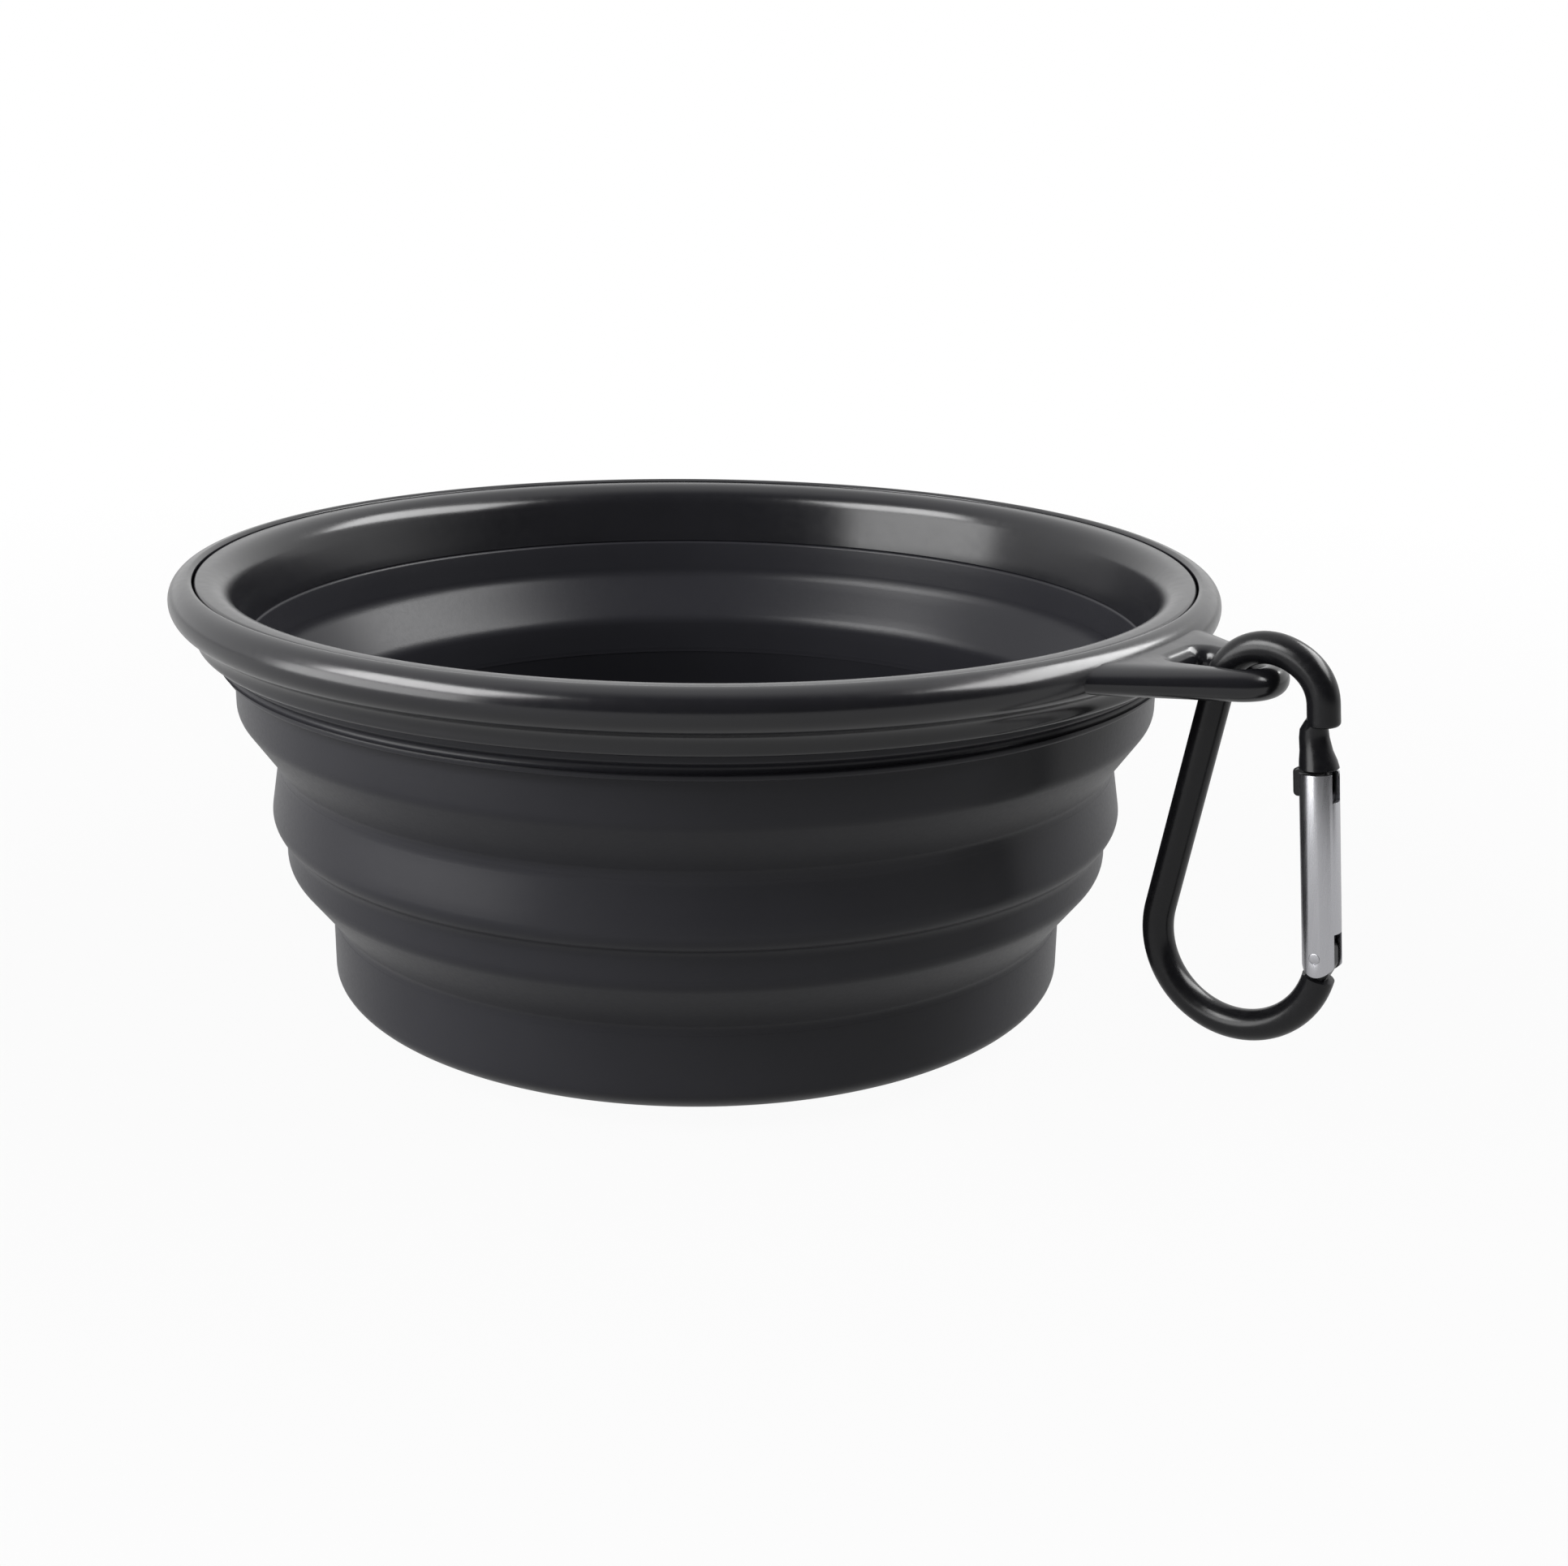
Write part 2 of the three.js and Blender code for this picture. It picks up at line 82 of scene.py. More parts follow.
def add_node(tree, kind, inputs=(), **settings):
    """Adds a node to a tree with its settings, and sets or links each input by its name or number."""
    node = tree.nodes.new(kind)
    for name, value in settings.items():
        setattr(node, name, value)
    for name, value in dict(inputs).items():
        socket = node.inputs[name]
        if isinstance(value, bpy.types.NodeSocket):
            tree.links.new(value, socket)
        else:
            socket.default_value = value
    return node


def colour(code):
    """Linear colour of an sRGB hex value."""
    parts = [int(code[i : i + 2], 16) / 255 for i in (1, 3, 5)]
    linear = [p / 12.92 if p <= 0.04045 else ((p + 0.055) / 1.055) ** 2.4 for p in parts]
    return (*linear, 1)


def new_material(name):
    """A node material with a plain shader, given with its tree, its shader and its object coordinates."""
    material = bpy.data.materials.new(name)
    material.use_nodes = True
    tree = material.node_tree
    tree.nodes.clear()
    shader = add_node(tree, "ShaderNodeBsdfPrincipled")
    add_node(tree, "ShaderNodeOutputMaterial", {"Surface": shader.outputs["BSDF"]})
    place = add_node(tree, "ShaderNodeTexCoord").outputs["Object"]
    return material, tree, shader, place


def moulded_rubber():
    """Thermoplastic rubber from a fine-blasted mould: charcoal, satin, softly grained, faintly mottled."""
    mottle_size, grain_size = 14 * MM, 0.45 * MM
    material, tree, shader, place = new_material("moulded_rubber")
    mottle = add_node(
        tree, "ShaderNodeTexNoise", {"Vector": place, "Scale": 1 / mottle_size, "Detail": 3}
    )
    # A mix of colours has them in its inputs 6 and 7, and gives the result in its output 2
    tone = add_node(
        tree,
        "ShaderNodeMix",
        {0: mottle.outputs[0], 6: colour("#202024"), 7: colour("#27272b")},
        data_type="RGBA",
    )
    # The grain is drawn about three times as coarse as the real one, so that it shows
    grain = add_node(
        tree, "ShaderNodeTexNoise", {"Vector": place, "Scale": 1 / grain_size, "Detail": 2}
    )
    matt = add_node(
        tree, "ShaderNodeMapRange", {"Value": grain.outputs[0], "To Min": 0.28, "To Max": 0.4}
    )
    relief = add_node(
        tree, "ShaderNodeBump", {"Height": grain.outputs[0], "Strength": 0.12, "Distance": 0.05 * MM}
    )
    shader.inputs["IOR"].default_value = 1.5
    shader.inputs["Specular IOR Level"].default_value = 0.22
    tree.links.new(tone.outputs[2], shader.inputs["Base Color"])
    tree.links.new(matt.outputs[0], shader.inputs["Roughness"])
    tree.links.new(relief.outputs[0], shader.inputs["Normal"])
    return material


def arc(x, z, width, height, start, end, steps):
    """Points on part of an ellipse, in mm and degrees, as corners with no fillet."""
    turns = [math.radians(start + (end - start) * i / steps) for i in range(steps + 1)]
    return [(x + width * math.cos(t), z + height * math.sin(t), 0) for t in turns]


def rounded(corners, closed=True):
    """Outline through (x, z, fillet) corners in mm: an arc at each fillet, and no wide gaps."""
    points = []
    for i, (x, z, fillet) in enumerate(corners):
        here = Vector((x, z))
        if not fillet:
            points.append(here)
            continue
        back = (Vector(corners[i - 1][:2]) - here).normalized()
        on = (Vector(corners[(i + 1) % len(corners)][:2]) - here).normalized()
        half = back.angle(on) / 2
        centre = here + (back + on).normalized() * fillet / math.sin(half)
        first = here + back * fillet / math.tan(half) - centre
        last = here + on * fillet / math.tan(half) - centre
        start = math.atan2(first.y, first.x)
        turn = math.remainder(math.atan2(last.y, last.x) - start, math.tau)
        steps = max(2, round(abs(turn) / FILLET_STEP))
        angles = [start + turn * k / steps for k in range(steps + 1)]
        points += [centre + fillet * Vector((math.cos(a), math.sin(a))) for a in angles]
    outline = []
    following = points[1:] + points[:1] if closed else points[1:]
    for here, there in zip(points, following):
        parts = max(1, math.ceil((there - here).length / POINT_SPACING))
        outline += [here.lerp(there, k / parts) for k in range(parts)]
    return outline if closed else outline + points[-1:]


def new_piece(name, points, edges, faces=()):
    """An object in the scene from points in metres."""
    mesh = bpy.data.meshes.new(name)
    mesh.from_pydata(points, edges, faces)
    piece = bpy.data.objects.new(name, mesh)
    bpy.context.scene.collection.objects.link(piece)
    return piece


def settled(piece):
    """Turns a piece with its modifiers into a plain closed mesh, smooth but for its sharp edges."""
    graph = bpy.context.evaluated_depsgraph_get()
    plain = bpy.data.meshes.new_from_object(piece.evaluated_get(graph))
    piece.modifiers.clear()
    piece.data = plain
    shell = bmesh.new()
    shell.from_mesh(plain)
    bmesh.ops.remove_doubles(shell, verts=shell.verts, dist=MERGE_DISTANCE * MM)
    bmesh.ops.recalc_face_normals(shell, faces=shell.faces)
    shell.to_mesh(plain)
    shell.free()
    plain.shade_smooth()
    plain.set_sharp_from_angle(angle=SHARP_ANGLE)
    return piece


def node_group(name, sizes):
    """A geometry tree that takes an outline, named sizes and a finish, given with the sockets of these."""
    tree = bpy.data.node_groups.new(name, "GeometryNodeTree")
    tree.interface.new_socket("Outline", in_out="INPUT", socket_type="NodeSocketGeometry")
    for label, kind in sizes.items():
        tree.interface.new_socket(label, in_out="INPUT", socket_type="NodeSocket" + kind)
    tree.interface.new_socket("Finish", in_out="INPUT", socket_type="NodeSocketMaterial")
    tree.interface.new_socket("Piece", in_out="OUTPUT", socket_type="NodeSocketGeometry")
    return tree, add_node(tree, "NodeGroupInput").outputs


def close_group(tree, sizes, surface):
    """Ends a geometry tree: real geometry, with its finish on it."""
    whole = add_node(tree, "GeometryNodeRealizeInstances", {"Geometry": surface})
    finished = add_node(
        tree, "GeometryNodeSetMaterial", {"Geometry": whole.outputs[0], "Material": sizes["Finish"]}
    )
    add_node(tree, "NodeGroupOutput", {"Piece": finished.outputs[0]})


def shaped(piece, tree, sizes):
    """Runs a geometry tree on a piece with its named inputs set, and leaves a plain mesh."""
    modifier = piece.modifiers.new(tree.name, "NODES")
    modifier.node_group = tree
    for item in tree.interface.items_tree:
        if item.name in sizes:
            modifier[item.identifier] = sizes[item.name]
    return settled(piece)


def turning():
    """Geometry tree that carries an outline of radius and height once round the bowl's axis."""
    tree, sizes = node_group("turning", {"Turning Radius": "Float", "Segments": "Int"})
    profile = add_node(tree, "GeometryNodeMeshToCurve", {"Mesh": sizes["Outline"]})
    circle = add_node(
        tree,
        "GeometryNodeCurvePrimitiveCircle",
        {"Resolution": sizes["Segments"], "Radius": sizes["Turning Radius"]},
    )
    ring = add_node(
        tree,
        "GeometryNodeCurveToMesh",
        {"Curve": circle.outputs[0], "Profile Curve": profile.outputs[0]},
    )
    close_group(tree, sizes, ring.outputs[0])
    return tree


def turned(name, corners, finish, closed=True, segments=RING_SEGMENTS):
    """A piece turned about Z from (radius, height, fillet) corners in mm."""
    # On its way round the circle the outline's Y points down, so heights go in with their sign turned
    line = [(p.x * MM - TURNING_RADIUS, -p.y * MM, 0) for p in rounded(corners, closed)]
    edges = [(i, i + 1) for i in range(len(line) - 1)]
    if closed:
        edges.append((len(line) - 1, 0))
    sizes = {"Turning Radius": TURNING_RADIUS, "Segments": segments, "Finish": finish}
    return shaped(new_piece(name, line, edges), turning_tree, sizes)


def ring_size(node):
    """Outer radius, lowest and highest point of a turned node, in mm."""
    low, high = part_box(node)
    return high.y / MM, low.z / MM, high.z / MM


turning_tree = turning()
rubber = moulded_rubber()
base_radius, base_low, base_high = ring_size("base_cup")
base_top = base_high + OVERLAP
outside_width = base_radius - FOOT_RADIUS
inside_width = outside_width - WALL
base = turned(
    "base_cup_rubber",
    [
        (0, base_low, 0),
        *arc(FOOT_RADIUS, base_low + CORNER_HEIGHT, outside_width, CORNER_HEIGHT, -90, 0, CORNER_STEPS),
        (base_radius, base_top, 0),
        (base_radius - WALL, base_top, 0),
        *arc(FOOT_RADIUS, BOWL_FLOOR + CORNER_HEIGHT, inside_width, CORNER_HEIGHT, 0, -90, CORNER_STEPS),
        (0, base_low + BOWL_FLOOR, 0),
    ],
    rubber,
    closed=False,
)
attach(base, "base")
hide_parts("base_cup")

# Folds of the soft bowl
# Two sloping webs of the same rubber, one above the base and one under the collar.
# Each turns inside out when the ring above it is pushed down.

SEAM = 0.01
FOLD_STRAIGHT = 1.3
HOLLOW_FILLET = 1.5
CREST_FILLET = 2.6
INSIDE_FILLET = 2.8
MIDDLE_DRAFT = 1.1
UPPER_INSIDE_LIFT = 2.2


def fold(name, node, low_radius, inside_lift):
    """A web from one ring's wall to the next, straight for a little way at each end."""
    high_radius, low, high = ring_size(node)
    bottom, top = low - OVERLAP, high + OVERLAP + inside_lift
    web = turned(
        name,
        [
            (low_radius - WALL + SEAM, bottom, 0),
            (low_radius - SEAM, bottom, 0),
            (low_radius - SEAM, low + FOLD_STRAIGHT, HOLLOW_FILLET),
            (high_radius - SEAM, high - FOLD_STRAIGHT, CREST_FILLET),
            (high_radius - SEAM, top, 0),
            (high_radius - WALL + SEAM, top, 0),
            (high_radius - WALL + SEAM, high + inside_lift - OVERLAP, INSIDE_FILLET),
            (low_radius - WALL + SEAM, low + 2 * FOLD_STRAIGHT + inside_lift, INSIDE_FILLET),
        ],
        rubber,
    )
    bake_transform(web)
    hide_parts(node)


band_radius, _, _ = ring_size("lower_fold")
middle_radius, middle_low, middle_high = ring_size("middle_wall")
middle_top_radius = middle_radius - MIDDLE_DRAFT
fold("lower_fold_rubber", "lower_fold", base_radius, 0)
fold("upper_fold_rubber", "upper_fold", middle_top_radius, UPPER_INSIDE_LIFT)

# Middle ring of the soft bowl
# The stiff ring between the folds: a low band, a small step out, and a wall that leans in a little.
# It is the same rubber at full wall thickness, so it stays round while the folds turn over.

BAND_HEIGHT = 2.8
BAND_STEP = 1.5
BAND_FILLET = 2
STEP_FILLET = 2.4
TOP_FILLET = 3

band_top = middle_low + BAND_HEIGHT
wall_start = band_top + BAND_STEP
middle = turned(
    "middle_wall_rubber",
    [
        (band_radius - WALL, middle_low - OVERLAP, 0),
        (band_radius, middle_low - OVERLAP, 0),
        (band_radius, band_top, BAND_FILLET),
        (middle_radius, wall_start, STEP_FILLET),
        (middle_top_radius, middle_high, TOP_FILLET),
        (middle_top_radius, middle_high + OVERLAP, 0),
        (middle_top_radius - WALL, middle_high + OVERLAP, 0),
        (middle_top_radius - WALL, middle_high, TOP_FILLET),
        (middle_radius - WALL, wall_start, STEP_FILLET),
        (band_radius - WALL, band_top, BAND_FILLET),
    ],
    rubber,
)
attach(middle, "middle")
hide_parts("middle_wall")

# Collar of the soft bowl
# The top ring of the same rubber: an upright wall, a thin rib under the rim, and a tongue on top.
# The tongue stands up between the two hard rim rings and is clamped there.

LEDGE_HEIGHT = 5
LEDGE_THICKNESS = 1.6
TONGUE_FLARE = 1.4
TONGUE_WALL = 1.2
RIB_REACH = 1.4
RIB_LOW = 0.9
RIB_HEIGHT = 1
RIB_FILLET = 0.45
MOUTH_FLARE = 0.6

collar_radius, _, _ = ring_size("upper_fold")
tongue_radius, collar_low, tongue_top = ring_size("upper_wall")
ledge = collar_low + LEDGE_HEIGHT
ledge_top = ledge + LEDGE_THICKNESS
rib_low = ledge - RIB_LOW
rib_radius = collar_radius + RIB_REACH
collar_end = collar_low + UPPER_INSIDE_LIFT - OVERLAP
collar = turned(
    "upper_wall_rubber",
    [
        (collar_radius - WALL, collar_end, 0),
        (collar_radius, collar_end, 0),
        (collar_radius, rib_low, RIB_FILLET),
        (rib_radius, rib_low, RIB_FILLET),
        (rib_radius, rib_low + RIB_HEIGHT, RIB_FILLET),
        (collar_radius + RIB_FILLET, rib_low + RIB_HEIGHT, RIB_FILLET),
        (tongue_radius, ledge + TONGUE_FLARE, RIB_FILLET),
        (tongue_radius, tongue_top, RIB_FILLET),
        (tongue_radius - TONGUE_WALL, tongue_top, RIB_FILLET),
        (tongue_radius - TONGUE_WALL, ledge_top, 0),
        (collar_radius - WALL + MOUTH_FLARE, ledge_top, RIB_FILLET),
    ],
    rubber,
)
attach(collar, "rim")
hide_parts("upper_wall")

# Inner rim ring
# A hard ring of glossy polypropylene with a flat lip, pressed down into the outer ring.
# Its tapered wall clamps the soft bowl's edge against the outer ring.

LIP_WIDTH = 4
LIP_ROUND = 3.2
LIP_EDGE_FILLET = 0.5
LIP_GAP = 0.1
SHELF_GAP = 0.3
RIM_GAP = 0.2
FOOT_STEP = 2.4
RING_WALL = 1.4
RING_TAPER = 2.8
FOOT_FILLET = 0.15


def moulded_polypropylene():
    """Polypropylene from a polished mould: charcoal and glossy, slightly wavy, with fine rub marks."""
    wave_size, rub_size = 9 * MM, 1.2 * MM
    material, tree, shader, place = new_material("moulded_polypropylene")
    wave = add_node(
        tree, "ShaderNodeTexNoise", {"Vector": place, "Scale": 1 / wave_size, "Detail": 1}
    )
    rub = add_node(
        tree, "ShaderNodeTexNoise", {"Vector": place, "Scale": 1 / rub_size, "Detail": 4}
    )
    tone = add_node(
        tree,
        "ShaderNodeMix",
        {0: wave.outputs[0], 6: colour("#161619"), 7: colour("#1c1c1f")},
        data_type="RGBA",
    )
    gloss = add_node(
        tree, "ShaderNodeMapRange", {"Value": rub.outputs[0], "To Min": 0.16, "To Max": 0.27}
    )
    relief = add_node(
        tree, "ShaderNodeBump", {"Height": wave.outputs[0], "Strength": 0.15, "Distance": 0.1 * MM}
    )
    shader.inputs["IOR"].default_value = 1.49
    tree.links.new(tone.outputs[2], shader.inputs["Base Color"])
    tree.links.new(gloss.outputs[0], shader.inputs["Roughness"])
    tree.links.new(relief.outputs[0], shader.inputs["Normal"])
    return material


plastic = moulded_polypropylene()
lip_outside, foot_low, lip_top = ring_size("inner_rim_ring")
lip_inside = lip_outside - LIP_WIDTH
ring_outside = tongue_radius - TONGUE_WALL - RIM_GAP
shelf = tongue_top + SHELF_GAP
inner_ring = turned(
    "inner_rim",
    [
        (ring_outside - FOOT_STEP, foot_low, FOOT_FILLET),
        (ring_outside - FOOT_STEP + RING_WALL, foot_low, FOOT_FILLET),
        (ring_outside, foot_low + RING_TAPER, FOOT_FILLET),
        (ring_outside, shelf, FOOT_FILLET),
        (lip_outside - LIP_GAP, shelf, FOOT_FILLET),
        (lip_outside - LIP_GAP, lip_top, LIP_EDGE_FILLET),
        (lip_inside, lip_top, LIP_ROUND),
    ],
    plastic,
)
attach(inner_ring, "rim")
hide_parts("inner_rim_ring")

# Outer rim ring
# A hard ring of the same polypropylene: a round bead over a straight skirt that hides the bowl's edge.
# A flat triangular lug with a hole is moulded on one side and carries the carabiner.

BEAD = 2.5
BEAD_OVERHANG = 2.9
BEAD_STEPS = 28
NECK_FILLET = 2
NECK_STEPS = 10
SKIRT_WALL = 1.8
SKIRT_FILLET = 0.7
SKIRT_LIFT = 1
GROOVE = 0.1
GROOVE_FILLET = 0.2
LUG_THICKNESS = 3.4
LUG_BELOW_BEAD = 0.2
LUG_TIP = 5.9
LUG_BAR = 3.5
LUG_HALF_WIDTH = 15.5
LUG_ROOT_DEPTH = 2
LUG_TIP_EDGE = 1.8
LUG_ROOT_EDGE = 3.6
LUG_HOLE_START = 2.8
LUG_HOLE_HALF_WIDTH = 3.5
LUG_HOLE_CORNER = 1.2
LUG_HOLE_EDGE = 1.5
LUG_ARC_STEPS = 24
LUG_SIDE_STEPS = 12
LUG_BORE_STEPS = 4
EDGE_STEPS = 8


def between(start, end, steps):
    """Points on the straight line between two others, without its ends."""
    shares = [k / steps for k in range(1, steps)]
    return [(start[0] + (end[0] - start[0]) * s, start[1] + (end[1] - start[1]) * s, 0) for s in shares]


def lug_edge(inset):
    """Outer outline of the lug at a share of its edge's round: tip, a side, root in the bead, a side."""
    turn = math.degrees(lug_side)
    tip_radius = LUG_TIP - LUG_TIP_EDGE * inset
    side_reach = lug_tip * math.cos(lug_side) + LUG_TIP - LUG_ROOT_EDGE * inset
    spread = turn - math.degrees(math.acos(side_reach / lug_root))
    tip_arc = arc(lug_tip, 0, tip_radius, tip_radius, -turn, turn, LUG_ARC_STEPS)
    root_arc = arc(0, 0, lug_root, lug_root, spread, -spread, LUG_ARC_STEPS)
    return [
        *tip_arc,
        *between(tip_arc[-1], root_arc[0], LUG_SIDE_STEPS),
        *root_arc,
        *between(root_arc[-1], tip_arc[0], LUG_SIDE_STEPS),
    ]


def hole_edge(inset):
    """Outline of the lug's hole at a share of its edge's round, its points beside the outer ones."""
    turn = math.degrees(lug_side)
    bore = LUG_TIP - LUG_BAR + LUG_HOLE_EDGE * inset
    corner = LUG_HOLE_CORNER + LUG_HOLE_EDGE * inset
    corner_x = rim_radius + LUG_HOLE_START + LUG_HOLE_CORNER
    corner_y = LUG_HOLE_HALF_WIDTH - LUG_HOLE_CORNER
    upper_bore = arc(lug_tip, 0, bore, bore, turn, 90, LUG_BORE_STEPS)
    lower_bore = arc(lug_tip, 0, bore, bore, -90, -turn, LUG_BORE_STEPS)
    upper_corner = arc(corner_x, corner_y, corner, corner, 90, 180, EDGE_STEPS)
    lower_corner = arc(corner_x, -corner_y, corner, corner, 180, 270, EDGE_STEPS)
    return [
        *arc(lug_tip, 0, bore, bore, -turn, turn, LUG_ARC_STEPS),
        *upper_bore[1:],
        *between(upper_bore[-1], upper_corner[0], LUG_SIDE_STEPS - LUG_BORE_STEPS),
        *upper_corner,
        *between(upper_corner[-1], lower_corner[0], LUG_ARC_STEPS - 2 * EDGE_STEPS),
        *lower_corner,
        *between(lower_corner[-1], lower_bore[0], LUG_SIDE_STEPS - LUG_BORE_STEPS),
        *lower_bore[:-1],
    ]


def at_height(outline, height):
    """The points of a flat outline, all at one height."""
    return [(x, y, height) for x, y, _ in outline]


def skinned(name, rings, capped=True):
    """A closed piece over rings of points in mm: two caps, or its last ring runs on to its first."""
    count = len(rings[0])
    points = [(x * MM, y * MM, z * MM) for ring in rings for x, y, z in ring]
    last = len(points) - count
    faces = []
    for low in range(0, last if capped else len(points), count):
        high = (low + count) % len(points)
        for k in range(count):
            on = (k + 1) % count
            faces.append((low + k, low + on, high + on, high + k))
    if capped:
        faces += [tuple(range(count))[::-1], tuple(range(last, len(points)))]
    return settled(new_piece(name, points, [], faces))


def combined(piece, other, operation, finish):
    """Joins another piece to this one, or cuts it away, and leaves one plain mesh with one finish."""
    # A second material marks the other piece's faces, until the line where the two meet is found
    joined = bpy.data.materials.new("joined")
    for side, material in ((piece, finish), (other, joined)):
        side.data.materials.clear()
        side.data.materials.append(material)
    modifier = piece.modifiers.new(operation, "BOOLEAN")
    modifier.operation = operation
    modifier.solver = "EXACT"
    modifier.material_mode = "TRANSFER"
    modifier.object = other
    settled(piece)
    bpy.data.objects.remove(other)
    # Shading stops at that line
    shell = bmesh.new()
    shell.from_mesh(piece.data)
    for edge in shell.edges:
        if len({face.material_index for face in edge.link_faces}) > 1:
            edge.smooth = False
    for face in shell.faces:
        face.material_index = 0
    shell.to_mesh(piece.data)
    shell.free()
    piece.data.materials.clear()
    piece.data.materials.append(finish)
    bpy.data.materials.remove(joined)


rim_radius, skirt_low, rim_top = ring_size("rim_ring")
lug_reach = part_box("rim_ring")[1].x / MM
bead_centre, bead_height = rim_radius - BEAD, rim_top - BEAD
skirt_radius = rim_radius - BEAD_OVERHANG
skirt_end = skirt_low + SKIRT_LIFT
# The neck is a hollow round that touches both the skirt and the bead
neck_x = skirt_radius + NECK_FILLET
neck_turn = math.degrees(math.acos((neck_x - bead_centre) / (BEAD + NECK_FILLET)))
neck_height = bead_height - (BEAD + NECK_FILLET) * math.sin(math.radians(neck_turn))
groove_edge = lip_outside + GROOVE
outer_ring = turned(
    "outer_rim",
    [
        (skirt_radius - SKIRT_WALL, skirt_end, FOOT_FILLET),
        (skirt_radius, skirt_end, SKIRT_FILLET),
        *arc(neck_x, neck_height, NECK_FILLET, NECK_FILLET, 180, 180 - neck_turn, NECK_STEPS),
        *arc(bead_centre, bead_height, BEAD, BEAD, -neck_turn, 90, BEAD_STEPS),
        (groove_edge, lip_top, GROOVE_FILLET),
        (groove_edge, shelf, 0),
        (skirt_radius - SKIRT_WALL, shelf, FOOT_FILLET),
    ],
    plastic,
)
lug_height = bead_height - LUG_BELOW_BEAD
lug_tip = lug_reach - LUG_TIP
lug_root = rim_radius - LUG_ROOT_DEPTH
root_x = math.sqrt(lug_root**2 - LUG_HALF_WIDTH**2) - lug_tip
root_distance = math.hypot(LUG_HALF_WIDTH, root_x)
lug_side = math.atan2(LUG_HALF_WIDTH, root_x) - math.acos(LUG_TIP / root_distance)
# The lug's surface runs in rings up its outer edge, over its top to the hole, and down there
edge_round = arc(1, 0, -1, 1, -90, 90, 2 * EDGE_STEPS)
levels = [(inset, lug_height + rise * LUG_THICKNESS / 2) for inset, rise, _ in edge_round]
lug_rings = [at_height(lug_edge(inset), height) for inset, height in levels]
lug_rings += [at_height(hole_edge(inset), height) for inset, height in reversed(levels)]
combined(outer_ring, skinned("lug", lug_rings, capped=False), "UNION", plastic)
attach(outer_ring, "rim")
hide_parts("rim_ring")

# Carabiner body
# A drawn aluminium rod bent to a pear shape, black anodised, hanging by its weight from the lug's hole.
# Its free end is pressed to a nose with a flat tongue, its other end to a flat tongue for the gate's rivet.

ROD = 3.5
ROD_SIDES = 40
ROD_SPACING = 0.4
TOP_BEND = 5.7
BOTTOM_BEND = 9.75
BEND_SPACING = 27.5
HANG_GAP = 0.3
HANG_TILT = math.radians(2)
SHOULDER = 2.4
SHOULDER_ROUND = 0.5
SHOULDER_OVERLAP = 0.8
NOSE_OFFSET = 0.6
NOSE_LENGTH = 4.6
NOSE_BEVEL = 0.15
NOSE_SIDES = 48
# Height above the gate, shift outwards, half width and half depth of the nose, up to inside the shoulder
NOSE_FORM = [
    (0.9, -0.1, 2, 1.95),
    (2, -0.3, 1.75, 1.6),
    (3.4, -0.5, 1.6, 1.45),
    (4.3, -0.5, 1.5, 1.4),
    (5.1, -0.1, 1.4, 1.35),
    (5.8, 0.3, 1.3, 1.3),
]
NOSE_TONGUE = 1.5
NOSE_TONGUE_DEPTH = 2.7
NOSE_TONGUE_OUTSIDE = 1.2
NOSE_TONGUE_CORNER = 0.5
NOSE_TONGUE_ROOT = 0.7
NOSE_LIP = 0.6
PIVOT_TONGUE = 1.6
PIVOT_TONGUE_WIDTH = 3.2
PIVOT_TONGUE_ABOVE_PIN = 1.5
PIVOT_TONGUE_ROOT = 1
PIVOT_TONGUE_CORNER = 0.9
ROD_END_BELOW_PIN = 2.7
TONGUE_EDGE = 0.25
FLAT_LIMIT = 0.9999
PLATE_BORDER = 0.03
GATE = 4.2
GATE_TOP_GAP = 0.3
GATE_ABOVE_PIN = 20.1
UPRIGHT = Matrix.Rotation(math.radians(90), 4, "X")


def black_anodised_aluminium():
    """Aluminium with a dyed and sealed oxide skin: black and glossy, faintly mottled by the dye bath."""
    mottle_size = 0.6 * MM
    material, tree, shader, place = new_material("black_anodised_aluminium")
    mottle = add_node(
        tree, "ShaderNodeTexNoise", {"Vector": place, "Scale": 1 / mottle_size, "Detail": 3}
    )
    gloss = add_node(
        tree, "ShaderNodeMapRange", {"Value": mottle.outputs[0], "To Min": 0.18, "To Max": 0.32}
    )
    tone = add_node(
        tree,
        "ShaderNodeMix",
        {0: mottle.outputs[0], 6: colour("#0d0d0f"), 7: colour("#151517")},
        data_type="RGBA",
    )
    relief = add_node(
        tree, "ShaderNodeBump", {"Height": mottle.outputs[0], "Strength": 0.05, "Distance": 0.03 * MM}
    )
    shader.inputs["Specular IOR Level"].default_value = 0.3
    tree.links.new(tone.outputs[2], shader.inputs["Base Color"])
    tree.links.new(gloss.outputs[0], shader.inputs["Roughness"])
    tree.links.new(relief.outputs[0], shader.inputs["Normal"])
    return material


def rod_sweep():
    """Geometry tree that draws a round rod along a line."""
    tree, sizes = node_group("rod_sweep", {"Diameter": "Float", "Sides": "Int"})
    line = add_node(tree, "GeometryNodeMeshToCurve", {"Mesh": sizes["Outline"]})
    radius = add_node(tree, "ShaderNodeMath", {0: sizes["Diameter"], 1: 0.5}, operation="MULTIPLY")
    section = add_node(
        tree,
        "GeometryNodeCurvePrimitiveCircle",
        {"Resolution": sizes["Sides"], "Radius": radius.outputs[0]},
    )
    rod = add_node(
        tree,
        "GeometryNodeCurveToMesh",
        {"Curve": line.outputs[0], "Profile Curve": section.outputs[0], "Fill Caps": True},
    )
    close_group(tree, sizes, rod.outputs[0])
    return tree


